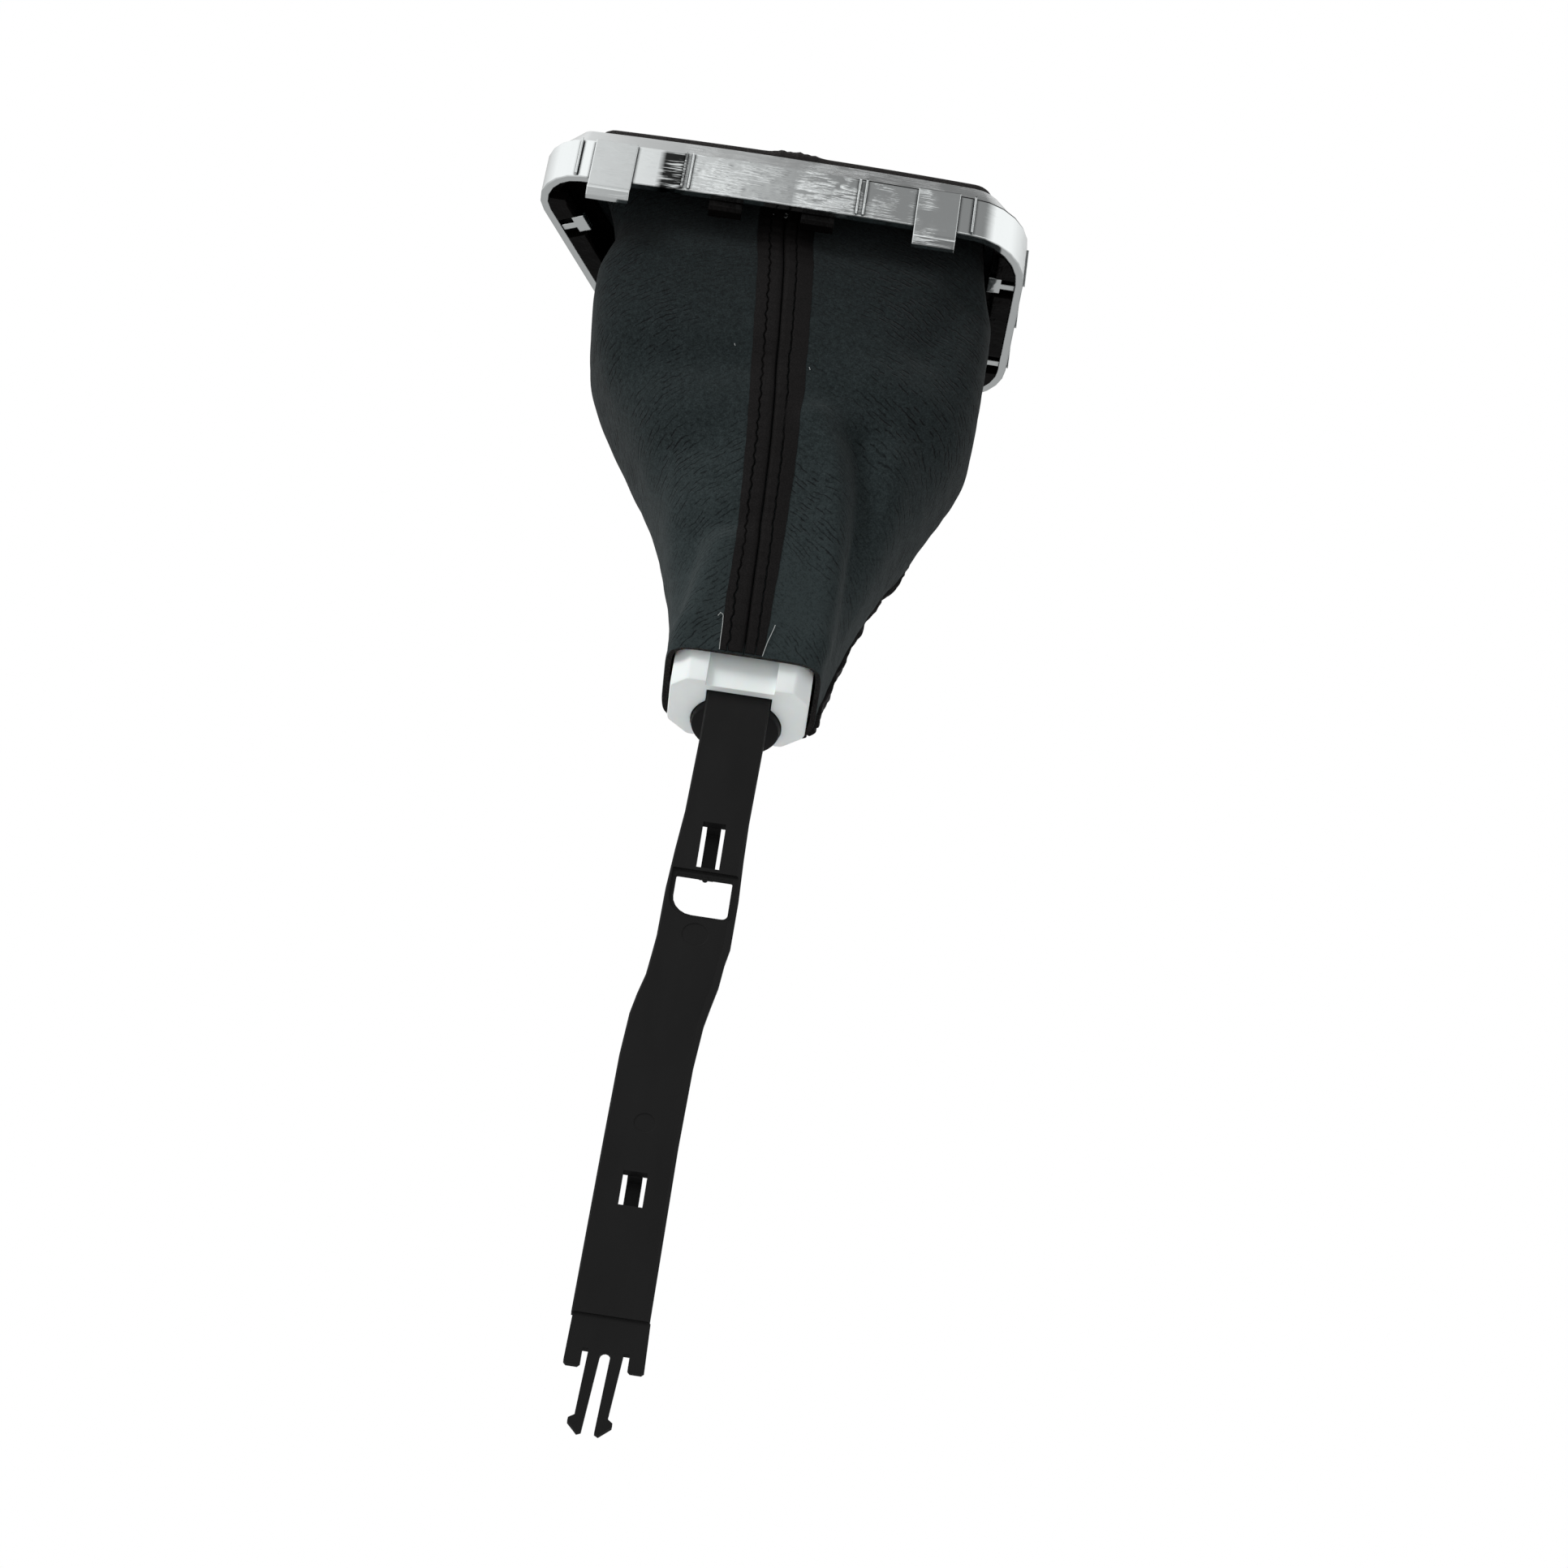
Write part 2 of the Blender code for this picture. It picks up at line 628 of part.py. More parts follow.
# Soft folds on the gaiter's near side: their line as (beside the axis, above the mouth), half width and height
GAITER_FOLDS = (
    (((-10.1, 32.0), (-13.6, 18.0), (-17.6, 2.0)), 4.2, 1.6),
    (((-18.6, 36.0), (-20.6, 22.0), (-21.6, 12.0)), 4.5, -1.5),
    (((-16.1, 42.0), (-29.1, 48.0)), 5.0, 1.0),
    (((-5.1, 40.0), (-13.1, 39.0), (-19.1, 42.0)), 4.5, -1.0),
    (((8.9, 74.0), (15.9, 60.0), (19.4, 40.0), (19.9, 4.0)), 5.0, 2.0),
    (((20.9, 70.0), (24.4, 54.0), (24.9, 34.0), (25.9, 12.0)), 4.6, -2.4),
    (((32.9, 66.0), (31.9, 44.0)), 6.0, 1.3),
    (((-47.1, 88.0), (-27.1, 88.0), (-7.1, 90.0)), 6.5, -1.3),
    (((-45.1, 76.0), (-23.1, 74.0)), 7.0, 1.0),
    (((-37.1, 60.0), (-19.1, 64.0)), 6.0, -1.2),
    (((44.9, 126.0), (36.9, 104.0)), 7.0, -1.8),
    (((22.9, 90.0), (44.9, 82.0)), 7.0, 0.9),
)
FOLD_FADE = 9.0 * MM


def fold_height(point, normal):
    """How far the folds push the gaiter's near side out, or in where negative, at a point."""
    above = point.z - MOUTH_Z
    fade = min(1.0, max(0.0, above / FOLD_FADE)) * min(1.0, max(0.0, -point.z / FOLD_FADE))
    facing = min(1.0, max(0.0, (-normal.y - 0.1) / 0.7))
    here = Vector((point.x - AXIS_X, above)) / MM
    total = 0.0
    for line, width, height in GAITER_FOLDS:
        nearest = 1e9
        for start, end in zip(line, line[1:]):
            run = Vector(end) - Vector(start)
            share = (here - Vector(start)).dot(run) / run.length_squared
            nearest = min(nearest, (here - Vector(start) - run * min(1.0, max(0.0, share))).length)
        total += height * MM * math.exp(-(nearest / width) ** 2)
    return total * fade * facing


def hanging_plans():
    """The gaiter's plans with one more halfway between each two, so that the folds have rows to bend."""
    plans = []
    for here, below in zip(GAITER_PLANS, GAITER_PLANS[1:]):
        plans.append(here)
        plans.append(tuple((a + b) / 2 for a, b in zip(here, below)))
    return plans + [GAITER_PLANS[-1]]


def mouth_box():
    """The gaiter's narrow end round the collar: left, right, near and far."""
    hug = LEATHER / 2 + GAP + MOUTH_SLACK
    return (
        AXIS_X - COLLAR_HALF_WIDTH - hug, AXIS_X + COLLAR_HALF_WIDTH + hug,
        AXIS_Y - COLLAR_NEAR - hug, AXIS_Y + COLLAR_FAR + MOUTH_REAR_SLACK,
    )


def gaiter_rows():
    """The gaiter's middle surface from its hem to its narrow end, as (outline, z, seam x)."""
    hem = HEM_BOTTOM + LEATHER / 2
    lip = RING_WIDTH + LEATHER / 2 + GAP
    turn_out, turn_in, crest_in, inside, low = (ROLL_TOP - step for step in ROLL_STEPS)
    rows = []
    for inset, z in (
        (HEM_OUTER, hem), (lip - ROLL_RADIUS / 2, hem), (lip + MOUTH_SLACK, hem + LEATHER * 0.7),
        (lip + MOUTH_SLACK, turn_in), (lip + ROLL_RADIUS * 0.45, turn_out),
        (lip + ROLL_RADIUS, ROLL_TOP - LEATHER / 2), (lip + ROLL_RADIUS * 1.6, crest_in),
        (lip + ROLL_RADIUS * 1.6, inside), (lip + ROLL_RADIUS, low),
    ):
        rows.append((bezel_outline(inset), z, SEAM_TOP_X))
    left, right, near, far = mouth_box()
    for up, more_left, more_right, more_near, more_far, power, seam in hanging_plans():
        outline = squircle(left - more_left * MM, right + more_right * MM, near - more_near * MM,
                           far + more_far * MM, power)
        rows.append((outline, MOUTH_Z * (1 - up), AXIS_X + seam * MM))
    return rows


def seam_angles(start, end, steps):
    """Angles across one panel, with close rows where its folded edges begin and end."""
    lip = math.radians(0.7)
    flap = FLAP_HALF_ANGLE
    angles = [start, start + flap / 2, start + flap - lip, start + flap]
    inner = end - start - 2 * flap
    for i in range(1, steps):
        angles.append(start + flap + inner * i / steps)
    angles += [end - flap, end - flap + lip, end - flap / 2, end]
    return angles


def make_panel(name, start, end, steps, material):
    """One sewn panel: a sheet between two seams whose edges are folded back and stand proud."""
    rows = gaiter_rows()
    angles = seam_angles(start + SEAM_HALF_ANGLE, end - SEAM_HALF_ANGLE, steps)
    raised = {0, 1, 2, len(angles) - 3, len(angles) - 2, len(angles) - 1}
    frame_clear = bezel_outline(WALL + POST_REACH + GAP + LEATHER)
    grid = []
    for outline, z, seam_x in rows:
        middle = sum(point.y for point in outline) / len(outline)
        origin = Vector((seam_x, middle))
        row = []
        for angle in angles:
            point = ray_hit(outline, origin, angle)
            if PAD_BOTTOM < z < HEM_BOTTOM:
                limit = ray_hit(frame_clear, origin, angle)
                point = min(point, limit, key=lambda place: (place - origin).length)
            row.append(point.to_3d() + Vector((0, 0, z)))
        grid.append(row)
    outer, inner = [], []
    for i, row in enumerate(grid):
        above = grid[max(i - 1, 0)]
        below = grid[min(i + 1, len(grid) - 1)]
        outer_row, inner_row = [], []
        for j, point in enumerate(row):
            down = (below[j] - above[j]).normalized()
            across = (row[min(j + 1, len(row) - 1)] - row[max(j - 1, 0)]).normalized()
            normal = down.cross(across).normalized()
            hanging = i > len(grid) - len(hanging_plans())
            extra = FLAP_THICK if hanging and j in raised else 0.0
            fold = fold_height(point, normal) if hanging else 0.0
            outer_row.append(point + normal * (LEATHER / 2 + extra + fold))
            inner_row.append(point + normal * (fold - LEATHER / 2))
        outer.append(outer_row)
        inner.append(inner_row)
    panel = add_object(name, sheet(outer, inner), material)
    finish(panel, 50.0)
    return panel


def collar_outline(inset):
    """The collar's eight-sided plan, moved inwards."""
    half = COLLAR_HALF_WIDTH - inset
    near = AXIS_Y - COLLAR_NEAR + inset
    far = AXIS_Y + COLLAR_FAR - inset
    cut_near = COLLAR_NEAR_CHAMFER - inset * (2 - math.sqrt(2))
    cut_far = COLLAR_FAR_CHAMFER - inset * (2 - math.sqrt(2))
    corners = [
        (AXIS_X - half + cut_near, near), (AXIS_X + half - cut_near, near),
        (AXIS_X + half, near + cut_near), (AXIS_X + half, far - cut_far),
        (AXIS_X + half - cut_far, far), (AXIS_X - half + cut_far, far),
        (AXIS_X - half, far - cut_far), (AXIS_X - half, near + cut_near),
    ]
    return rounded(corners, [1.6 * MM] * 8, 2, (1,) * 8)


def make_collar(nylon):
    levels = [
        (COLLAR_EDGE, COLLAR_BOTTOM), (COLLAR_EDGE * 0.3, COLLAR_BOTTOM + COLLAR_EDGE * 0.3),
        (0.0, COLLAR_BOTTOM + COLLAR_EDGE), (0.0, COLLAR_TOP - COLLAR_EDGE * 0.5),
        (COLLAR_EDGE * 0.5, COLLAR_TOP),
    ]
    collar = add_object("collar", skin([lift_to(collar_outline(inset), z) for inset, z in levels]), nylon)
    below = COLLAR_BOTTOM - OVERLAP
    above = COLLAR_TOP + OVERLAP
    channel = STRIP_UPPER_WIDTH / 2 + SLIDE_GAP
    recess = channel + PANEL_MARGIN
    near = AXIS_Y - COLLAR_NEAR
    cuts = [
        tool_from(cylinder(BORE_RADIUS, below, above, 40)),
        tool_from(block(AXIS_X - channel, AXIS_X + channel, STRIP_FRONT_Y - SLIDE_GAP, AXIS_Y, below, above)),
        tool_from(block(AXIS_X - recess, AXIS_X + recess, near - OVERLAP, near + PANEL_RECESS, below, above)),
    ]
    combine(collar, "DIFFERENCE", cuts)
    finish(collar)
    return collar


def make_stem(plastic):
    chamfer = STEM_CHAMFER
    profile = [
        (STEM_BORE_RADIUS + chamfer * 0.5, STEM_BOTTOM), (STEM_RADIUS - chamfer, STEM_BOTTOM),
        (STEM_RADIUS - chamfer * 0.3, STEM_BOTTOM + chamfer * 0.3), (STEM_RADIUS, STEM_BOTTOM + chamfer),
        (STEM_RADIUS, STEM_TOP - chamfer), (STEM_RADIUS - chamfer, STEM_TOP),
    ]
    loops = turn(profile, 40)
    bore = turn([(STEM_BORE_RADIUS, STEM_BORE_TOP), (STEM_BORE_RADIUS, STEM_BOTTOM + chamfer * 0.5)], 40)
    bm = skin(loops[::-1] + bore[::-1])
    stem = add_object("knob_stem", bm, plastic)
    guide = STRIP_UPPER_WIDTH / 2 + SLIDE_GAP
    guide_top = STRIP_TOP + LIFT_TRAVEL + SLIDE_GAP
    cut = block(AXIS_X - guide, AXIS_X + guide, AXIS_Y - STEM_RADIUS - OVERLAP, STRIP_BACK_Y + SLIDE_GAP,
                STEM_BOTTOM - OVERLAP, guide_top)
    combine(stem, "DIFFERENCE", [tool_from(cut)])
    finish(stem)
    return stem


def make_lift_ring(chrome):
    edge = RING_EDGE
    middle = (RING_BOTTOM + RING_TOP) / 2
    profile = [
        (BORE_RADIUS, RING_BOTTOM), (RING_RADIUS - edge, RING_BOTTOM), (RING_RADIUS, RING_BOTTOM + edge),
        (RING_RADIUS, RING_BOTTOM + 2 * edge), (RING_WAIST_RADIUS, middle - edge),
        (RING_WAIST_RADIUS, middle + edge), (RING_RADIUS, RING_TOP - 2 * edge),
        (RING_RADIUS, RING_TOP - edge), (RING_RADIUS - edge, RING_TOP), (BORE_RADIUS, RING_TOP),
    ]
    ring = add_object("lift_ring", skin(turn(profile, 40), ring=True), chrome)
    half = STRIP_UPPER_WIDTH / 2 + GAP
    catch = CATCH_WIDTH / 2 + GAP
    cuts = [
        tool_from(block(AXIS_X - half, AXIS_X + half, STRIP_FRONT_Y - GAP, AXIS_Y - BORE_RADIUS * 0.5,
                        RING_BOTTOM - OVERLAP, STRIP_TOP + GAP)),
        tool_from(block(AXIS_X - catch, AXIS_X + catch, STRIP_FRONT_Y - CATCH_PROUD - GAP,
                        STRIP_FRONT_Y + STRIP_THICK / 2, CATCH_TOP - CATCH_HEIGHT - GAP, CATCH_TOP + GAP)),
    ]
    combine(ring, "DIFFERENCE", cuts)
    finish(ring)
    return ring


def make_knob(leather, chrome, gloss):
    seat_radius = CAP_RADIUS + TRIM_WIDTH + 2 * GAP
    floor = KNOB_TOP - TRIM_HEIGHT
    belly = KNOB_BOTTOM + KNOB_HEIGHT * 0.72
    profile = [(BORE_RADIUS, KNOB_BOTTOM), (KNOB_NECK_RADIUS - 1.2 * MM, KNOB_BOTTOM)]
    neck_top = KNOB_BOTTOM + KNOB_HEIGHT * 0.08
    profile.append((KNOB_NECK_RADIUS, KNOB_BOTTOM + 1.2 * MM))
    for i in range(8):
        share = i / 7
        swell = 0.5 - 0.5 * math.cos(math.pi * share)
        profile.append((KNOB_NECK_RADIUS + (KNOB_RADIUS - KNOB_NECK_RADIUS) * swell,
                        neck_top + (belly - neck_top) * share))
    shoulder = seat_radius + KNOB_LIP
    for i in range(1, 6):
        angle = math.pi / 2 * i / 5
        profile.append((shoulder + (KNOB_RADIUS - shoulder) * math.cos(angle),
                        belly + (KNOB_TOP - belly) * math.sin(angle)))
    profile += [(seat_radius, KNOB_TOP - 0.3 * MM), (seat_radius, floor)]
    outside = turn(profile[1:], 40)
    bore = turn([(BORE_RADIUS, STEM_TOP + GAP), (BORE_RADIUS, KNOB_BOTTOM)], 40)
    body = add_object("knob_body", skin(outside[::-1] + bore[::-1]), leather)
    finish(body)

    trim_inner = CAP_RADIUS + GAP
    trim_outer = trim_inner + TRIM_WIDTH
    seat = floor + GAP
    crest = KNOB_TOP + 0.5 * MM
    profile = [
        (trim_inner, seat), (trim_outer, seat), (trim_outer, crest - 0.8 * MM), (trim_outer - 0.6 * MM, crest),
        (trim_inner + 0.5 * MM, crest - 0.1 * MM), (trim_inner, crest - 0.7 * MM),
    ]
    trim = add_object("knob_trim_ring", skin(turn(profile, 40), ring=True), chrome)
    finish(trim)

    cap_rim = seat + CAP_THICK - CAP_DOME
    profile = [(CAP_RADIUS, seat)]
    for i in range(6):
        radius = CAP_RADIUS * (1 - 0.16 * i)
        profile.append((radius, cap_rim + CAP_DOME * (1 - (radius / CAP_RADIUS) ** 2)))
    cap = add_object("knob_cap", skin(turn(profile, 40)), gloss)
    finish(cap)
    return body, trim, cap


# The strip down its length: distance below its top, centre beside the axis, extra width, step towards the
# near side and the moulded side wall on the right
STRIP_PLANS = (
    (68.2, -0.6, 0.0, 0.0, 0.0),
    (80.2, -1.0, 1.0, 0.0, 0.8),
    (92.2, -1.2, 2.0, 0.0, 1.5),
    (106.2, -1.4, 2.0, 0.0, 1.5),
    (111.2, -2.0, 1.6, 0.3, 1.4),
    (118.2, -2.6, 1.6, 0.8, 1.3),
    (124.2, -3.8, 1.8, 1.2, 1.3),
    (130.2, -4.8, 1.8, 1.5, 1.2),
    (142.2, -5.6, 1.6, 1.6, 1.0),
    (164.2, -6.0, 1.4, 1.6, 0.6),
    (211.6, -6.3, 1.8, 1.6, 0.4),
)


def strip_section(z):
    """Centre, front face, width and side wall of the strip at a height."""
    plans = [(STRIP_GUIDED, 0.0, 0.0, 0.0, 0.0)]
    plans += [tuple(value * MM for value in plan) for plan in STRIP_PLANS]
    down = STRIP_TOP - z
    above = plans[0]
    for plan in plans:
        if down <= plan[0]:
            break
        above = plan
    span = plan[0] - above[0]
    share = 0.0 if span == 0 else max(0.0, min(1.0, (down - above[0]) / span))
    centre, extra, step, side = (a + (b - a) * share for a, b in zip(above[1:], plan[1:]))
    return AXIS_X + centre, STRIP_FRONT_Y - step, STRIP_UPPER_WIDTH + extra, side


def strip_loop(z):
    centre, front, width, side = strip_section(z)
    half = width / 2
    back = front + STRIP_THICK
    return [
        Vector((centre - half + STRIP_EDGE, front, z)), Vector((centre + half - STRIP_EDGE - side, front, z)),
        Vector((centre + half, front + STRIP_EDGE + side * 0.5, z)), Vector((centre + half, back, z)),
        Vector((centre - half, back, z)), Vector((centre - half, front + STRIP_EDGE, z)),
    ]


def fork_outline():
    """Front view of the fork in (x, z): two stub prongs outside two barbed snap legs."""
    half = FORK_WIDTH / 2
    centre = strip_section(STRIP_STEP_Z)[0] + FORK_SHIFT
    top = STRIP_STEP_Z + 3.0 * MM
    root = strip_section(STRIP_STEP_Z)[2] / 2 - OVERLAP
    prong_in = half - FORK_PRONG
    leg_out = prong_in - FORK_SIDE_SLOT
    leg_in = leg_out - FORK_LEG
    slot = leg_in
    bottom = FORK_SHOULDER
    barb_top = FORK_TIP + FORK_BARB_HEIGHT
    right = [
        (root, top), (root, STRIP_STEP_Z), (half - 0.3 * MM, STRIP_STEP_Z - 0.2 * MM), (half, bottom + 0.6 * MM),
        (half - 0.6 * MM, bottom),
        (prong_in + 0.6 * MM, bottom), (prong_in, bottom + 0.6 * MM), (prong_in, FORK_SLOT_TOP),
        (leg_out, FORK_SLOT_TOP), (leg_out - FORK_LEG_TAPER * 0.4, barb_top),
        (leg_out - FORK_LEG_TAPER * 0.4 + FORK_BARB, barb_top - 0.9 * MM),
        (leg_out - FORK_LEG_TAPER * 0.4 + FORK_BARB, barb_top - 1.7 * MM),
        (leg_in + 1.3 * MM, FORK_TIP), (leg_in + 0.3 * MM, FORK_TIP + 0.5 * MM),
    ]
    for i in range(4):
        angle = math.pi / 2 * i / 3
        right.append((slot * math.cos(angle), FORK_SLOT_TOP - slot + slot * math.sin(angle)))
    left = [(-x, z) for x, z in right[:-1]][::-1]
    outline = []
    for x, z in right + left:
        down = (FORK_SLOT_TOP - z) / (FORK_SLOT_TOP - FORK_TIP)
        on_leg = abs(x) < prong_in and down > 0
        outline.append((centre + x + (FORK_LEAN * down if on_leg else 0.0), z))
    return outline


def port_outline(grow):
    """Front view of the D-shaped hole in (x, z)."""
    half = PORT_WIDTH / 2 + grow
    centre = strip_section(PORT_TOP - PORT_HEIGHT / 2)[0]
    top = PORT_TOP + grow
    bottom = PORT_TOP - PORT_HEIGHT - grow
    return rounded(
        [(centre - half, bottom), (centre + half, bottom), (centre + half, top), (centre - half, top)],
        [PORT_LEFT_RADIUS + grow, PORT_RIGHT_RADIUS + grow, PORT_TOP_RADIUS, PORT_TOP_RADIUS], 5, (1,) * 4)


def window_loop(window):
    """The guide loop behind a window, as a side view in (y, z)."""
    top, bottom = window
    centre, front, _, _ = strip_section((top + bottom) / 2)
    inner = front + STRIP_THICK + LOOP_CLEAR
    outer = inner + LOOP_SHEET
    root = front + STRIP_THICK - OVERLAP
    return [
        (root, top + LOOP_SHEET), (root, top), (inner, top - LOOP_CLEAR * 0.4), (inner, bottom + LOOP_CLEAR * 0.4),
        (root, bottom), (root, bottom - LOOP_SHEET), (outer, bottom), (outer, top),
    ], centre


def make_strip(plastic):
    heights = [STRIP_TOP, STRIP_TOP - STRIP_GUIDED]
    heights += [STRIP_TOP - plan[0] * MM for plan in STRIP_PLANS]
    strip = add_object("lifter_strip", skin([strip_loop(z) for z in heights]), plastic)
    catch = CATCH_WIDTH / 2
    nose = [
        (STRIP_FRONT_Y + OVERLAP, CATCH_TOP), (STRIP_FRONT_Y - CATCH_PROUD * 0.3, CATCH_TOP),
        (STRIP_FRONT_Y - CATCH_PROUD, CATCH_TOP - CATCH_HEIGHT + 0.5 * MM),
        (STRIP_FRONT_Y - CATCH_PROUD, CATCH_TOP - CATCH_HEIGHT), (STRIP_FRONT_Y + OVERLAP, CATCH_TOP - CATCH_HEIGHT),
    ]
    fork_front = strip_section(STRIP_STEP_Z)[1] + (STRIP_THICK - FORK_THICK)
    parts = [
        tool_from(prism(nose, "X", AXIS_X - catch, AXIS_X + catch)),
        tool_from(prism(fork_outline(), "Y", fork_front - 0.05 * MM, fork_front + FORK_THICK - 0.05 * MM)),
    ]
    for window in WINDOWS:
        profile, centre = window_loop(window)
        parts.append(tool_from(prism(profile, "X", centre - WINDOW_TONGUE / 2, centre + WINDOW_TONGUE / 2)))
    combine(strip, "UNION", parts)
    through = STRIP_BACK_Y + OVERLAP
    cuts = [
        tool_from(prism(port_outline(0.0), "Y", STRIP_FRONT_Y - OVERLAP, through)),
        tool_from(prism(port_outline(PORT_RIM), "Y", STRIP_FRONT_Y - OVERLAP, STRIP_FRONT_Y + PORT_RIM_DEPTH)),
    ]
    for top, bottom in WINDOWS:
        centre, front, _, _ = strip_section((top + bottom) / 2)
        half = WINDOW_WIDTH / 2
        cuts.append(tool_from(block(centre - half, centre + half, front - OVERLAP, front + STRIP_THICK + 0.02 * MM,
                                    bottom, top)))
    for down, radius in EJECTOR_MARKS:
        z = STRIP_TOP - down
        x, front, _, _ = strip_section(z)
        mark = cylinder(radius, -OVERLAP, EJECTOR_DEPTH, 24, (0.0, 0.0))
        bmesh.ops.transform(mark, matrix=Matrix.Translation((x, front, z)) @ Matrix.Rotation(-math.pi / 2, 4, "X"),
                            verts=mark.verts)
        cuts.append(tool_from(mark))
    combine(strip, "DIFFERENCE", cuts)
    port_x = strip_section(PORT_TOP)[0]
    nub = cylinder(PORT_NUB, 0.0, STRIP_THICK - PORT_RIM_DEPTH - 0.2 * MM, 12, (0.0, 0.0))
    bmesh.ops.transform(nub, matrix=Matrix.Translation((port_x, STRIP_FRONT_Y + PORT_RIM_DEPTH + 0.1 * MM, PORT_TOP))
                        @ Matrix.Rotation(-math.pi / 2, 4, "X"), verts=nub.verts)
    combine(strip, "UNION", [tool_from(nub)])
    finish(strip)
    return strip


def main():
    clear_scene()
    chrome = make_material("chrome plated plastic", (0.72, 0.73, 0.74), 0.08, 1.0)
    trim_chrome = make_material("trim chrome", (0.70, 0.71, 0.72), 0.12, 1.0)
    frame_plastic = make_material("frame plastic", (0.012, 0.012, 0.012), 0.45)
    backing = make_material("gaiter backing", (0.015, 0.024, 0.026), 0.9)
    nylon = make_material("natural nylon", (0.76, 0.80, 0.79), 0.4)
    stem_plastic = make_material("stem plastic", (0.015, 0.015, 0.015), 0.5)
    strip_plastic = make_material("strip plastic", (0.016, 0.016, 0.016), 0.5)
    knob_leather = make_material("knob leather", (0.014, 0.014, 0.014), 0.55)
    gloss = make_material("gloss black", (0.008, 0.008, 0.008), 0.12)
    make_bezel(chrome)
    make_inner_frame(frame_plastic)
    near_seam = -math.pi / 2
    make_panel("gaiter_panel_right", near_seam, REAR_SEAM_ANGLE, 15, backing)
    make_panel("gaiter_panel_left", REAR_SEAM_ANGLE, near_seam + 2 * math.pi, 26, backing)
    make_collar(nylon)
    make_stem(stem_plastic)
    make_lift_ring(trim_chrome)
    make_knob(knob_leather, trim_chrome, gloss)
    make_strip(strip_plastic)


main()
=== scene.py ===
"""Looks of a gear knob with a reverse lifter and a sewn gaiter that hangs down through its bezel.

Lengths are written in millimetres and turned to metres with MM.
"""
import math

import bmesh
import bpy
import numpy as np
from mathutils import Matrix, Vector


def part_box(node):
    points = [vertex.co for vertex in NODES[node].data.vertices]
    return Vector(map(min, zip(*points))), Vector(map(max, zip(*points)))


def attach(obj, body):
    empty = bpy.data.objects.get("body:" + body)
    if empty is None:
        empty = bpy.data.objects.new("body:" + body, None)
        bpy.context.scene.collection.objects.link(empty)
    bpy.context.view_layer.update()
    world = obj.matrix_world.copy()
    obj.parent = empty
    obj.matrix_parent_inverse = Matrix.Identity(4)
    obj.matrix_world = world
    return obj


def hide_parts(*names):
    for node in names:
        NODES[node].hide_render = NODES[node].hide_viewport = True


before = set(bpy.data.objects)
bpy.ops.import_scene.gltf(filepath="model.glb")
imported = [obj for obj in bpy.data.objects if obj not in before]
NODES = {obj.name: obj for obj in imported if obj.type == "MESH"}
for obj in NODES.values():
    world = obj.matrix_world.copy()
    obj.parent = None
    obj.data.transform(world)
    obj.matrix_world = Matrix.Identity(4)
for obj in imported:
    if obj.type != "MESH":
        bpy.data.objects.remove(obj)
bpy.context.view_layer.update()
MM = 0.001
# How often a pattern of one millimetre repeats in a metre
PER_MM = 1000.0
# How many rays sample a rounded edge or a dark corner
EDGE_SAMPLES = 6


# Helpers

def srgb(code):
    """A hex colour as linear RGBA."""
    channels = [int(code[i:i + 2], 16) / 255 for i in (1, 3, 5)]
    linear = [c / 12.92 if c <= 0.04045 else ((c + 0.055) / 1.055) ** 2.4 for c in channels]
    return (*linear, 1.0)


def add_node(tree, kind, inputs=None, out=0, to=None, stops=(), **settings):
    """Add one node with its settings and links, and return its output.

    inputs maps a socket's name or number to a value or another node's output, to is a socket that the output
    feeds, and stops are a colour ramp's (place, hex colour) pairs.
    """
    made = tree.nodes.new(kind)
    for name, value in settings.items():
        setattr(made, name, value)
    for key, value in (inputs or {}).items():
        if isinstance(value, bpy.types.NodeSocket):
            tree.links.new(value, made.inputs[key])
        else:
            made.inputs[key].default_value = value
    for number, (place, code) in enumerate(stops):
        points = made.color_ramp.elements
        point = points[number] if number < 2 else points.new(place)
        point.position = place
        point.color = srgb(code)
    if to:
        tree.links.new(made.outputs[out], to)
    return made.outputs[out] if made.outputs else None


def start_material(name, colour, roughness, **values):
    """A Principled material with its constant values on the shader's own sockets."""
    material = bpy.data.materials.new(name)
    material.use_nodes = True
    tree = material.node_tree
    shader = tree.nodes["Principled BSDF"]
    shader.inputs["Base Color"].default_value = srgb(colour)
    shader.inputs["Roughness"].default_value = roughness
    for socket, value in values.items():
        shader.inputs[socket.replace("_", " ")].default_value = value
    return material, tree, shader


# Materials

# The bezel's painted marks in millimetres, as where each starts and where it is full: the depth of the near
# wall, which alone is marked, the painted dark reflection's reach from its middle and its top, and the
# painted shadow line's bottom, top and left end
NEAR_WALL = (10.0, 5.0)
PAINTED_REFLECTION_X = -34.0
PAINTED_REFLECTION_REACH = (4.4, 2.6)
PAINTED_REFLECTION_TOP = (14.0, 13.0)
SHADOW_LINE_BOTTOM = (13.4, 13.6)
SHADOW_LINE_TOP = (14.37, 14.33)
SHADOW_LINE_START = (14.0, 19.0)
MARK_DARKNESS = 0.97
SCUFFED_ROUGHNESS = 0.4


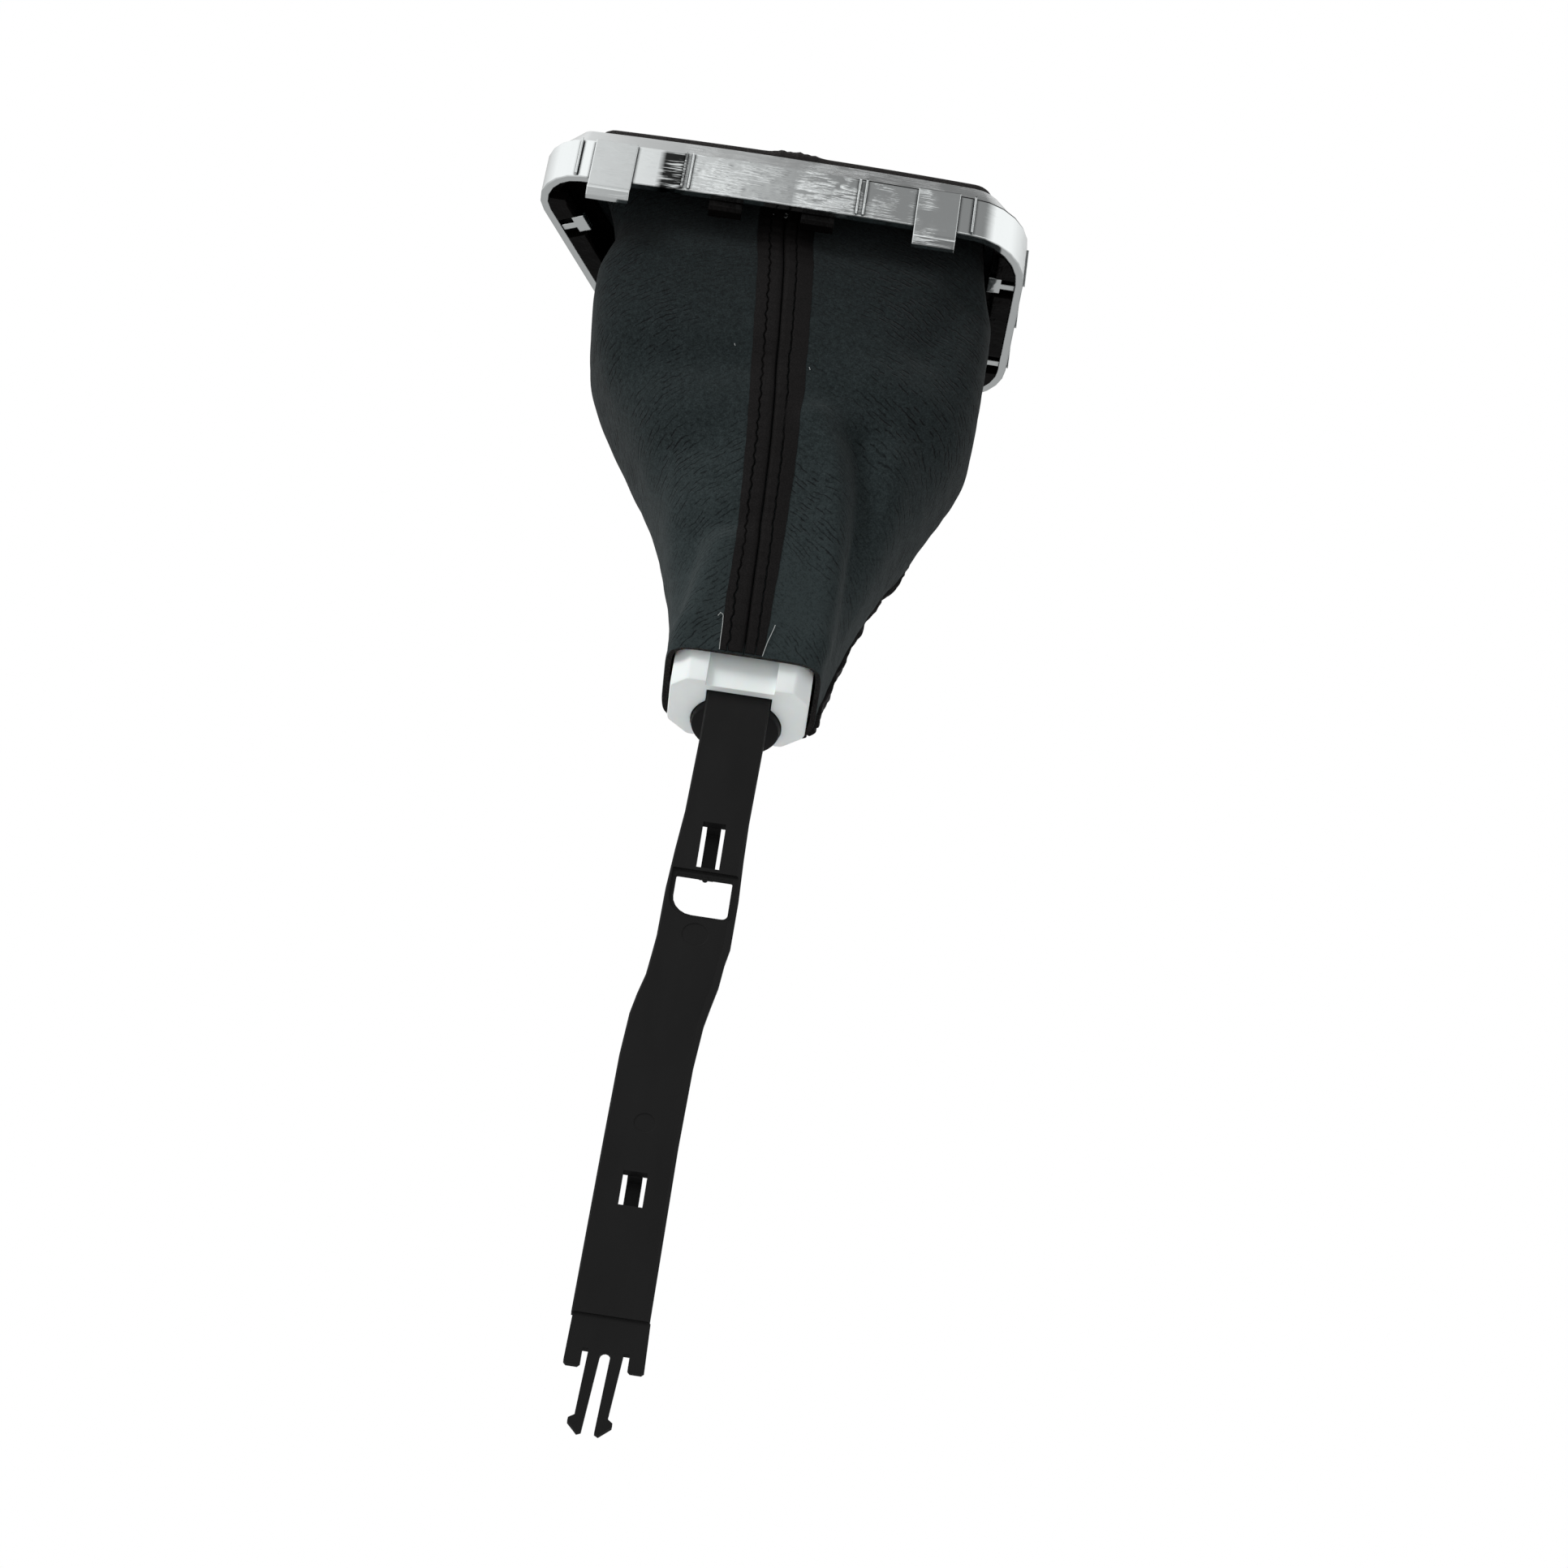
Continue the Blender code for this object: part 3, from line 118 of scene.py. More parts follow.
def chrome_plated_abs(name, colour, edge, roughness, marked):
    """Decorative chrome on moulded ABS: a mirror with rounded edges and painted shade that darkens its inner
    corners, scuffed here and there into fine level streaks that catch the light from all around.

    marked, 0 or 1, adds painted marks to the bezel's near wall: a painted dark reflection beside the left
    double fin and a painted shadow line along the band's top.
    """
    material, tree, shader = start_material(name, colour, roughness, Metallic=1.0)
    place = add_node(tree, "ShaderNodeTexCoord", out="Object")
    x, y, z = (add_node(tree, "ShaderNodeSeparateXYZ", {0: place}, out=axis) for axis in "XYZ")
    along = add_node(tree, "ShaderNodeMapping", {"Vector": place,
                                                 "Scale": (PER_MM / 10, PER_MM / 10, PER_MM / 0.8)})
    streaks = add_node(tree, "ShaderNodeTexNoise", {"Vector": along, "Scale": 1.0, "Detail": 3.0,
                                                    "Roughness": 0.6})
    patches = add_node(tree, "ShaderNodeTexNoise", {"Vector": place, "Scale": PER_MM / 8, "Detail": 2.0})
    patch = add_node(tree, "ShaderNodeMapRange", {"Value": patches, "From Min": 0.36, "From Max": 0.56})
    streak = add_node(tree, "ShaderNodeMapRange", {"Value": streaks, "From Min": 0.44, "From Max": 0.60})
    scuff = add_node(tree, "ShaderNodeMath", {0: patch, 1: streak}, operation="MULTIPLY")
    # How much the near wall is rubbed from its left end to its right
    along_wall = add_node(tree, "ShaderNodeMapRange", {"Value": x, "From Min": -70 * MM, "From Max": 70 * MM})
    handled = add_node(tree, "ShaderNodeValToRGB", {"Fac": along_wall}, stops=(
        (0.10, "#404040"), (0.27, "#404040"), (0.30, "#d8d8d8"), (0.42, "#909090"), (0.50, "#606060"),
        (0.52, "#f4f4f4"), (0.635, "#ffffff"), (0.645, "#a0a0a0"), (0.72, "#5a5a5a"), (0.77, "#a0a0a0"),
        (0.80, "#484848")))
    apart = add_node(tree, "ShaderNodeMath", {0: x, 1: PAINTED_REFLECTION_X * MM}, operation="SUBTRACT")
    apart = add_node(tree, "ShaderNodeMath", {0: apart}, operation="ABSOLUTE")
    near, beside_fin, on_band, above, below, right_part = (
        add_node(tree, "ShaderNodeMapRange", {"Value": value, "From Min": start * MM, "From Max": full * MM})
        for value, (start, full) in (
            (y, NEAR_WALL), (apart, PAINTED_REFLECTION_REACH), (z, PAINTED_REFLECTION_TOP), (z, SHADOW_LINE_BOTTOM), (z, SHADOW_LINE_TOP),
            (x, SHADOW_LINE_START)))
    worn = add_node(tree, "ShaderNodeMix", {"Factor": near, 2: 0.2, 3: handled})
    scuff = add_node(tree, "ShaderNodeMath", {0: scuff, 1: worn}, operation="MULTIPLY")
    round_normal = add_node(tree, "ShaderNodeBevel", {"Radius": 0.4 * MM}, samples=EDGE_SAMPLES)
    # Painted shade: the colour turns to the edge colour in inner corners, where little of the room is open to
    # the surface
    open_share = add_node(tree, "ShaderNodeAmbientOcclusion", {"Distance": 1.1 * MM}, out="AO",
                          samples=EDGE_SAMPLES, only_local=True)
    corner = add_node(tree, "ShaderNodeMapRange", {"Value": open_share, "From Min": 0.88, "From Max": 0.66})
    body = add_node(tree, "ShaderNodeValToRGB", {"Fac": corner}, stops=((0.0, colour), (1.0, edge)))
    fine = add_node(tree, "ShaderNodeMapRange", {"Value": streaks, "From Min": 0.40, "From Max": 0.50})
    # Painted dark reflection: a streaked near-black patch beside the left double fin, on the near wall only
    dark_reflection = add_node(tree, "ShaderNodeMath", {0: beside_fin, 1: on_band}, operation="MULTIPLY")
    dark_reflection = add_node(tree, "ShaderNodeMath", {0: dark_reflection, 1: fine}, operation="MULTIPLY")
    # Painted shadow line along the band's top, on the right part of the near wall
    line = add_node(tree, "ShaderNodeMath", {0: above, 1: below}, operation="MULTIPLY")
    line = add_node(tree, "ShaderNodeMath", {0: line, 1: right_part}, operation="MULTIPLY")
    dark = add_node(tree, "ShaderNodeMath", {0: dark_reflection, 1: line}, operation="MAXIMUM")
    dark = add_node(tree, "ShaderNodeMath", {0: dark, 1: near}, operation="MULTIPLY")
    shade = add_node(tree, "ShaderNodeMapRange", {"Value": dark, "To Min": 1.0,
                                                  "To Max": 1.0 - MARK_DARKNESS * marked})
    add_node(tree, "ShaderNodeVectorMath", {0: body, "Scale": shade}, operation="SCALE",
             to=shader.inputs["Base Color"])
    add_node(tree, "ShaderNodeMapRange", {"Value": scuff, "To Min": roughness, "To Max": SCUFFED_ROUGHNESS},
             to=shader.inputs["Roughness"])
    grooves = add_node(tree, "ShaderNodeMapRange", {"Value": scuff, "To Min": 0.03, "To Max": 1.0})
    grooves = add_node(tree, "ShaderNodeMath", {0: grooves, 1: streaks}, operation="MULTIPLY")
    add_node(tree, "ShaderNodeBump", {"Height": grooves, "Distance": 0.25 * MM, "Strength": 1.0,
                                      "Normal": round_normal}, to=shader.inputs["Normal"])
    return material


def moulded_plastic(name, colour, worn, roughness, grain_mm, depth_mm, **values):
    """Injection-moulded plastic: a fine spark-eroded grain, soft flow marks that change the gloss, and edges
    that are rounded and a little paler from handling.
    """
    material, tree, shader = start_material(name, colour, roughness, **values)
    place = add_node(tree, "ShaderNodeTexCoord", out="Object")
    stretched = add_node(tree, "ShaderNodeMapping", {"Vector": place,
                                                     "Scale": (PER_MM / 9, PER_MM / 9, PER_MM / 30)})
    flow = add_node(tree, "ShaderNodeTexNoise", {"Vector": stretched, "Scale": 1.0, "Detail": 3.0,
                                                 "Roughness": 0.55})
    round_normal = add_node(tree, "ShaderNodeBevel", {"Radius": 0.3 * MM}, samples=EDGE_SAMPLES)
    flat_normal = add_node(tree, "ShaderNodeNewGeometry", out="Normal")
    agree = add_node(tree, "ShaderNodeVectorMath", {0: round_normal, 1: flat_normal}, out="Value",
                     operation="DOT_PRODUCT")
    rim = add_node(tree, "ShaderNodeMapRange", {"Value": agree, "From Min": 0.99, "From Max": 0.92,
                                                "To Max": 0.5})
    wear = add_node(tree, "ShaderNodeMapRange", {"Value": flow, "From Min": 0.35, "From Max": 0.75,
                                                 "To Max": 0.6})
    wear = add_node(tree, "ShaderNodeMath", {0: wear, 1: rim}, operation="ADD")
    add_node(tree, "ShaderNodeValToRGB", {"Fac": wear}, stops=((0.0, colour), (1.0, worn)),
             to=shader.inputs["Base Color"])
    add_node(tree, "ShaderNodeMapRange", {"Value": flow, "From Min": 0.3, "From Max": 0.7,
                                          "To Min": roughness * 0.85, "To Max": roughness * 1.2},
             to=shader.inputs["Roughness"])
    grain = add_node(tree, "ShaderNodeTexNoise", {"Vector": place, "Scale": PER_MM / grain_mm, "Detail": 3.0,
                                                  "Roughness": 0.6})
    add_node(tree, "ShaderNodeBump", {"Height": grain, "Distance": depth_mm * MM, "Strength": 1.0,
                                      "Normal": round_normal}, to=shader.inputs["Normal"])
    return material


def grained_leather(name, colour, high, roughness, grain_mm, depth_mm):
    """Embossed PU leather: pebbles parted by fine creases, with more gloss on the pebbles' tops."""
    material, tree, shader = start_material(name, colour, roughness, Specular_IOR_Level=0.14)
    place = add_node(tree, "ShaderNodeTexCoord", out="Object")
    warp = add_node(tree, "ShaderNodeTexNoise", {"Vector": place, "Scale": PER_MM * 0.5 / grain_mm,
                                                 "Detail": 2.0}, out="Color")
    shifted = add_node(tree, "ShaderNodeVectorMath", {0: warp, "Scale": grain_mm * 1.2 * MM},
                       operation="SCALE")
    warped = add_node(tree, "ShaderNodeVectorMath", {0: place, 1: shifted}, operation="ADD")
    pebbles = add_node(tree, "ShaderNodeTexVoronoi", {"Vector": warped, "Scale": PER_MM / grain_mm},
                       out="Distance", feature="DISTANCE_TO_EDGE")
    crease = add_node(tree, "ShaderNodeMapRange", {"Value": pebbles, "From Min": 0.0, "From Max": 0.16})
    add_node(tree, "ShaderNodeValToRGB", {"Fac": crease}, stops=((0.0, colour), (1.0, high)),
             to=shader.inputs["Base Color"])
    add_node(tree, "ShaderNodeMapRange", {"Value": crease, "To Min": roughness * 1.25, "To Max": roughness},
             to=shader.inputs["Roughness"])
    add_node(tree, "ShaderNodeBump", {"Height": crease, "Distance": depth_mm * MM, "Strength": 1.0},
             to=shader.inputs["Normal"])
    return material


# Knit ribs: their spacing down the cloth, the length of one stroke, and the size of a loop of yarn, which is
# drawn about twice as coarse as the real yarn so that it shows
RIB_PITCH = 1.6
STROKE_LENGTH = 2.4
KNIT_SIZE = 0.42


def knitted_backing():
    """Brushed polyester knit on the back of the leather: dull and dark, with short slanted grooves where it
    is drawn tight.

    The attribute cloth holds the distance from the near seam, the height along the cloth and how tight it is.
    """
    material, tree, shader = start_material("knitted_polyester_backing", "#20292b", 0.95, Sheen_Weight=0.05,
                                            Sheen_Roughness=0.5, Specular_IOR_Level=0.12)
    cloth = add_node(tree, "ShaderNodeAttribute", out="Vector", attribute_name="cloth")
    away, height, tight = (add_node(tree, "ShaderNodeSeparateXYZ", {0: cloth}, out=axis) for axis in "XYZ")
    away = add_node(tree, "ShaderNodeMath", {0: away}, operation="ABSOLUTE")
    # The ribs fall away from the seam, more steeply lower down, and wander broadly and finely
    slope = add_node(tree, "ShaderNodeMapRange", {"Value": height, "From Min": -140.0, "From Max": -40.0,
                                                  "To Min": 0.9, "To Max": 0.42})
    fall = add_node(tree, "ShaderNodeMath", {0: away, 1: slope}, operation="MULTIPLY")
    across = add_node(tree, "ShaderNodeMath", {0: height, 1: fall}, operation="ADD")
    for spread, detail, amount in ((15.0, 1.0, 4.5), (2.4, 2.0, 1.5)):
        drift = add_node(tree, "ShaderNodeTexNoise", {"Vector": cloth, "Scale": 1 / spread, "Detail": detail})
        drift = add_node(tree, "ShaderNodeMath", {0: drift, 1: amount}, operation="MULTIPLY")
        across = add_node(tree, "ShaderNodeMath", {0: across, 1: drift}, operation="ADD")
    turns = add_node(tree, "ShaderNodeMath", {0: across, 1: 2 * math.pi / RIB_PITCH}, operation="MULTIPLY")
    wave = add_node(tree, "ShaderNodeMath", {0: turns}, operation="SINE")
    wave = add_node(tree, "ShaderNodeMapRange", {"Value": wave, "From Min": 0.3, "From Max": 1.0})
    # Each groove is broken into strokes, and shows where the cloth is pulled
    along = add_node(tree, "ShaderNodeMath", {0: away, 1: STROKE_LENGTH}, operation="DIVIDE")
    beside = add_node(tree, "ShaderNodeMath", {0: across, 1: RIB_PITCH}, operation="DIVIDE")
    stroke_place = add_node(tree, "ShaderNodeCombineXYZ", {0: along, 1: beside})
    strokes = add_node(tree, "ShaderNodeTexNoise", {"Vector": stroke_place, "Scale": 1.0, "Detail": 1.0})
    strokes = add_node(tree, "ShaderNodeMapRange", {"Value": strokes, "From Min": 0.46, "From Max": 0.56})
    groove = add_node(tree, "ShaderNodeMath", {0: wave, 1: strokes}, operation="MULTIPLY")
    pull = add_node(tree, "ShaderNodeTexNoise", {"Vector": cloth, "Scale": 1 / 24.0, "Detail": 2.0})
    pull = add_node(tree, "ShaderNodeMapRange", {"Value": pull, "From Min": 0.36, "From Max": 0.60,
                                                 "To Min": 0.15})
    pull = add_node(tree, "ShaderNodeMath", {0: pull, 1: tight}, operation="MULTIPLY")
    groove = add_node(tree, "ShaderNodeMath", {0: groove, 1: pull}, operation="MULTIPLY")
    # Loops of yarn, with painted shade that darkens the cloth near the bezel, painted light that makes it
    # paler low on the bag, and painted shade in the grooves
    place = add_node(tree, "ShaderNodeTexCoord", out="Object")
    knit = add_node(tree, "ShaderNodeTexNoise", {"Vector": place, "Scale": PER_MM / KNIT_SIZE, "Detail": 3.0,
                                                 "Roughness": 0.7})
    tone = add_node(tree, "ShaderNodeTexNoise", {"Vector": place, "Scale": PER_MM / 1.1, "Detail": 4.0,
                                                 "Roughness": 0.8})
    tone = add_node(tree, "ShaderNodeMath", {0: tone, 1: knit}, operation="ADD")
    tone = add_node(tree, "ShaderNodeMapRange", {"Value": tone, "From Min": 0.74, "From Max": 1.26,
                                                 "To Min": 0.30, "To Max": 1.05})
    # Painted shade under the bezel at the top of the cloth, and painted light low on the bag
    painted_light_by_height = add_node(tree, "ShaderNodeMapRange", {"Value": height, "From Min": -15.0, "From Max": -120.0,
                                                   "To Min": -0.36, "To Max": 0.26})
    tone = add_node(tree, "ShaderNodeMath", {0: tone, 1: painted_light_by_height}, operation="ADD")
    # Painted shade that darkens the grooves
    painted_groove_shade = add_node(tree, "ShaderNodeMath", {0: groove, 1: 0.62}, operation="MULTIPLY")
    tone = add_node(tree, "ShaderNodeMath", {0: tone, 1: painted_groove_shade}, operation="SUBTRACT")
    add_node(tree, "ShaderNodeValToRGB", {"Fac": tone}, to=shader.inputs["Base Color"],
             stops=((0.0, "#0e1112"), (0.35, "#1a2021"), (0.65, "#242b2c"), (1.0, "#303839")))
    yarn = add_node(tree, "ShaderNodeMath", {0: knit, 1: 0.5}, operation="MULTIPLY")
    relief = add_node(tree, "ShaderNodeMath", {0: yarn, 1: groove}, operation="SUBTRACT")
    add_node(tree, "ShaderNodeBump", {"Height": relief, "Distance": 0.2 * MM, "Strength": 1.0},
             to=shader.inputs["Normal"])
    return material


# Bright plate that mirrors the studio's white and grey, with painted shade that makes it nearly black in its
# inner corners, and a painted dark reflection and a painted shadow line on its near wall
BEZEL_CHROME = chrome_plated_abs("chrome_plated_abs", "#f1f5f5", "#1c2021", 0.07, 1.0)
# Satin plate with softer and greyer reflections, and painted shade that greys its inner corners
SATIN_CHROME = chrome_plated_abs("satin_chrome_plated_abs", "#d6d8d9", "#6a6d6e", 0.24, 0.0)
# Deep black with lumpy glints, so that the frame sinks into the bezel's shade
FRAME_BLACK = moulded_plastic("black_polypropylene", "#060505", "#100e0d", 0.26, 4.5, 0.45,
                              Specular_IOR_Level=0.1)
# Even, satin black of the thin strip
STRIP_BLACK = moulded_plastic("black_acetal", "#171717", "#1e1e1e", 0.46, 0.6, 0.012, Specular_IOR_Level=0.1)
# Even, dull black of the stem's round end
STEM_BLACK = moulded_plastic("black_nylon", "#121213", "#19191a", 0.46, 0.6, 0.015, Specular_IOR_Level=0.12)
# Milky white that lets a little light through its thin edges
WHITE_NYLON = moulded_plastic("natural_white_nylon", "#f4faf9", "#ecf3f2", 0.40, 0.8, 0.012,
                              Subsurface_Weight=0.2, Subsurface_Scale=0.0015, Specular_IOR_Level=0.3)
# Piano black: a mirror-smooth cap
GLOSS_BLACK = moulded_plastic("piano_black_abs", "#0a0a0b", "#0d0d0e", 0.06, 1.2, 0.002, Coat_Weight=0.6,
                              Coat_Roughness=0.04)
# Grained leather on the knob, inside the gaiter, and pressed flat where the gaiter's edges are folded
KNOB_LEATHER = grained_leather("knob_pu_leather", "#0f0e0e", "#191818", 0.44, 0.9, 0.07)
GAITER_LEATHER = grained_leather("gaiter_pu_leather", "#131111", "#1d1a19", 0.52, 1.1, 0.09)
FLAP_LEATHER = grained_leather("folded_pu_leather", "#0b0a0a", "#110f0f", 0.6, 0.7, 0.02)
# Dark, dull cloth that takes up most of the view
BACKING = knitted_backing()
# Sewing threads with a faint sheen, and flat print
WHITE_THREAD, _, _ = start_material("white_polyester_thread", "#b4b8b7", 0.6, Sheen_Weight=0.3)
BLACK_THREAD, _, _ = start_material("black_polyester_thread", "#161616", 0.55, Sheen_Weight=0.3)
PRINT_WHITE, _, _ = start_material("white_pad_print", "#d5d8d8", 0.35)


def add_piece(name, bm, materials, smooth_degrees=60.0):
    """A mesh object with smooth faces and sharp edges kept."""
    mesh = bpy.data.meshes.new(name)
    bm.to_mesh(mesh)
    bm.free()
    item = bpy.data.objects.new(name, mesh)
    bpy.context.scene.collection.objects.link(item)
    for material in materials:
        mesh.materials.append(material)
    mesh.shade_smooth()
    mesh.set_sharp_from_angle(angle=math.radians(smooth_degrees))
    return item


# Rigid pieces keep their solids: welded, smoothed by angle and given their finish

WELD_DISTANCE = 2e-6
SHARP_ANGLE = math.radians(29.0)


def smoothing_group():
    """Weld the faceted solid, drop its flat normals and shade it smooth up to an angle."""
    group = bpy.data.node_groups.new("smooth_by_angle", "GeometryNodeTree")
    group.interface.new_socket("Geometry", in_out="INPUT", socket_type="NodeSocketGeometry")
    group.interface.new_socket("Geometry", in_out="OUTPUT", socket_type="NodeSocketGeometry")
    source = add_node(group, "NodeGroupInput")
    bare = add_node(group, "GeometryNodeRemoveAttribute", {"Geometry": source, "Name": "custom_normal"})
    weld = add_node(group, "GeometryNodeMergeByDistance", {"Geometry": bare, "Distance": WELD_DISTANCE})
    angle = add_node(group, "GeometryNodeInputMeshEdgeAngle", out="Unsigned Angle")
    sharp = add_node(group, "FunctionNodeCompare", {0: angle, 1: SHARP_ANGLE}, data_type="FLOAT",
                     operation="GREATER_THAN")
    faces = add_node(group, "GeometryNodeSetShadeSmooth", {0: weld, "Shade Smooth": True}, domain="FACE")
    edges = add_node(group, "GeometryNodeSetShadeSmooth",
                     {0: faces, "Selection": sharp, "Shade Smooth": False}, domain="EDGE")
    add_node(group, "NodeGroupOutput", {0: edges})
    return group


SMOOTHING = smoothing_group()
FINISHES = {
    "bezel": BEZEL_CHROME, "inner_frame": FRAME_BLACK, "collar": WHITE_NYLON, "knob_stem": STEM_BLACK,
    "lift_ring": SATIN_CHROME, "knob_body": KNOB_LEATHER, "knob_trim_ring": SATIN_CHROME,
    "knob_cap": GLOSS_BLACK, "lifter_strip": STRIP_BLACK,
}
for node_name, finish in FINISHES.items():
    solid = NODES[node_name]
    for slot in solid.material_slots:
        slot.material = finish
    modifier = solid.modifiers.new("smooth", "NODES")
    modifier.node_group = SMOOTHING


# Gaiter: its form, from the bezel's hem over the roll and down to the mouth round the collar

# The bezel's plan: its ends, depth and wall, how far its near side bows out, the slant of its left end and
# the radii of its corners
BEZEL_LEFT, BEZEL_RIGHT, BEZEL_DEPTH, BEZEL_WALL, BEZEL_CROWN = -70.0, 67.5, 68.0, 2.2, 1.0
BEZEL_SLANT = math.radians(27.0)
BEZEL_RADII = (11.0, 17.5, 14.0, 14.0)
# How far inside the bezel's wall the cloth keeps, so as to pass within the black frame
FRAME_INSET = 11.6
# The gaiter's mouth as left, right, near and far, its height, and the heights of its hem and its flaps' top
MOUTH_BOX = (-12.7, 26.9, 18.4, 50.6)
MOUTH_Z = -141.3
HEM_Z = 13.2
FLAP_TOP = 12.0
AXIS_X = 7.1
# The seams: where the near one starts, and the rear one's bearing
SEAM_TOP_X = -1.3
REAR_SEAM = math.radians(30.0)
# The cloth's thickness, the distance between rows, and the columns in each panel
THICK = 1.2
STEP = 1.0
RIGHT_COLUMNS = 104
LEFT_COLUMNS = 200
# Points round a bezel corner, round a row of the hanging part and round a loop
CORNER_POINTS = 24
OUTLINE_POINTS = 720
SPOKES = 1440
# The roll over the bezel's ring: how far inside the bezel's wall, and height
RIM_ROWS = (
    (3.6, 13.2), (9.8, 13.2), (11.5, 14.2), (11.5, 28.1), (12.08, 30.1), (13.4, 30.8), (14.84, 29.3),
    (14.84, 24.5), (13.4, 15.5),
)
# The hanging part: share up from the mouth, how much wider than the mouth to the left, right, near and far,
# squareness, and the near seam beside the axis
HANGING_ROWS = (
    (1.000, 33.8, 30.1, 7.0, 4.9, 5.0, -8.1),
    (0.886, 36.9, 32.1, 10.0, 8.4, 4.5, -6.5),
    (0.750, 34.9, 31.7, 11.0, 9.4, 4.0, -5.1),
    (0.643, 29.3, 31.1, 10.5, 11.9, 3.6, -4.0),
    (0.543, 21.5, 26.5, 9.0, 12.4, 3.2, -3.0),
    (0.443, 13.9, 20.3, 7.5, 11.4, 3.0, -2.2),
    (0.350, 8.1, 14.3, 5.9, 10.0, 2.8, -1.7),
    (0.257, 4.1, 9.3, 4.5, 8.0, 2.8, -1.2),
    (0.179, 1.1, 5.3, 3.3, 7.2, 2.8, -1.0),
    (0.107, 0.0, 2.7, 2.3, 6.0, 3.2, -0.8),
    (0.050, 0.0, 1.1, 1.3, 3.2, 5.0, -0.6),
    (0.000, 0.0, 0.0, 0.0, 0.0, 6.5, -0.5),
)
# How much wider the rows above were measured than the cloth is drawn at the mouth: left, right and near side
MOUTH_TUCK = (1.0, 1.0, 0.9)
# Soft folds on the near side: their line as (beside the axis, above the mouth), half width and height
GAITER_FOLDS = (
    (((-10.1, 32.0), (-13.6, 18.0), (-17.6, 2.0)), 4.2, 1.6),
    (((-18.6, 36.0), (-20.6, 22.0), (-21.6, 12.0)), 4.5, -1.5),
    (((-16.1, 42.0), (-29.1, 48.0)), 5.0, 1.0),
    (((-5.1, 40.0), (-13.1, 39.0), (-19.1, 42.0)), 4.5, -1.0),
    (((8.9, 74.0), (15.9, 60.0), (19.4, 40.0), (19.9, 4.0)), 5.0, 2.0),
    (((20.9, 70.0), (24.4, 54.0), (24.9, 34.0), (25.9, 12.0)), 4.4, -3.0),
    (((32.9, 66.0), (31.9, 44.0)), 6.0, 1.3),
    (((-47.1, 88.0), (-27.1, 88.0), (-7.1, 90.0)), 6.5, -1.3),
    (((-45.1, 76.0), (-23.1, 74.0)), 7.0, 1.0),
    (((-37.1, 60.0), (-19.1, 64.0)), 6.0, -1.2),
    (((44.9, 126.0), (36.9, 104.0)), 7.0, -1.8),
    (((22.9, 90.0), (44.9, 82.0)), 7.0, 0.9),
)
# How far from the mouth and the bezel the folds fade out, and a factor on all their heights
FOLD_FADE = 9.0
FOLD_DEPTH = 1.45


def rim_outline(inset):
    """The bezel's plan moved inwards: a trapezoid with round corners and a bowed near side."""
    near = BEZEL_CROWN - BEZEL_WALL / 2
    sharp = BEZEL_LEFT + BEZEL_RADII[0] * (1 - (1 + math.sin(BEZEL_SLANT)) / math.cos(BEZEL_SLANT))
    y0, y1 = near + inset, near + BEZEL_DEPTH - inset

    def left(y):
        return sharp + (y - near) * math.tan(BEZEL_SLANT) + inset / math.cos(BEZEL_SLANT)

    corners = [np.array(p) for p in (
        (left(y0), y0), (BEZEL_RIGHT - inset, y0), (BEZEL_RIGHT - inset, y1), (left(y1), y1))]
    points = []
    for i, corner in enumerate(corners):
        radius = max(BEZEL_RADII[i] - inset, 2.5)
        back = corners[i - 1] - corner
        ahead = corners[(i + 1) % 4] - corner
        back, ahead = back / np.linalg.norm(back), ahead / np.linalg.norm(ahead)
        half = math.acos(float(back @ ahead)) / 2
        bisector = (back + ahead) / np.linalg.norm(back + ahead)
        centre = corner + bisector * radius / math.sin(half)
        spoke = corner + back * radius / math.tan(half) - centre
        for share in np.linspace(0, 1, CORNER_POINTS):
            turn = share * (math.pi - 2 * half)
            points.append(centre + (math.cos(turn) * spoke[0] - math.sin(turn) * spoke[1],
                                    math.sin(turn) * spoke[0] + math.cos(turn) * spoke[1]))
    dense = []
    for a, b in zip(points, points[1:] + points[:1]):
        count = max(1, int(np.linalg.norm(b - a)))
        bow = BEZEL_CROWN if a[1] < near + inset + 0.01 and count > 30 else 0.0
        for share in np.arange(count) / count:
            dense.append(a + (b - a) * share - (0.0, bow * (1 - (2 * share - 1) ** 2)))
    return np.array(dense)


def hanging_outline(left, right, near, far, power):
    """A rounded box in plan."""
    angle = np.linspace(0, 2 * math.pi, OUTLINE_POINTS, endpoint=False)
    c, s = np.cos(angle), np.sin(angle)
    reach = (abs(c) ** power + abs(s) ** power) ** (-1 / power)
    return np.stack([(left + right) / 2 + (right - left) / 2 * c * reach,
                     (near + far) / 2 + (far - near) / 2 * s * reach], axis=1)


def polar(outline, origin, angles):
    """The outline's distance from a point inside it, at each angle."""
    apart = outline - origin
    at = np.arctan2(apart[:, 1], apart[:, 0])
    order = np.argsort(at)
    return np.interp(angles, at[order], np.hypot(*apart.T)[order], period=2 * math.pi)


def even_columns(loop, start, end, count):
    """Points at even distances along part of a loop."""
    part = np.take(loop, np.arange(start, end + 1), axis=0, mode="wrap")
    along = np.concatenate([[0], np.cumsum(np.linalg.norm(np.diff(part, axis=0), axis=1))])
    at = np.linspace(0, along[-1], count + 1)
    return np.stack([np.interp(at, along, part[:, k]) for k in range(3)], axis=1)


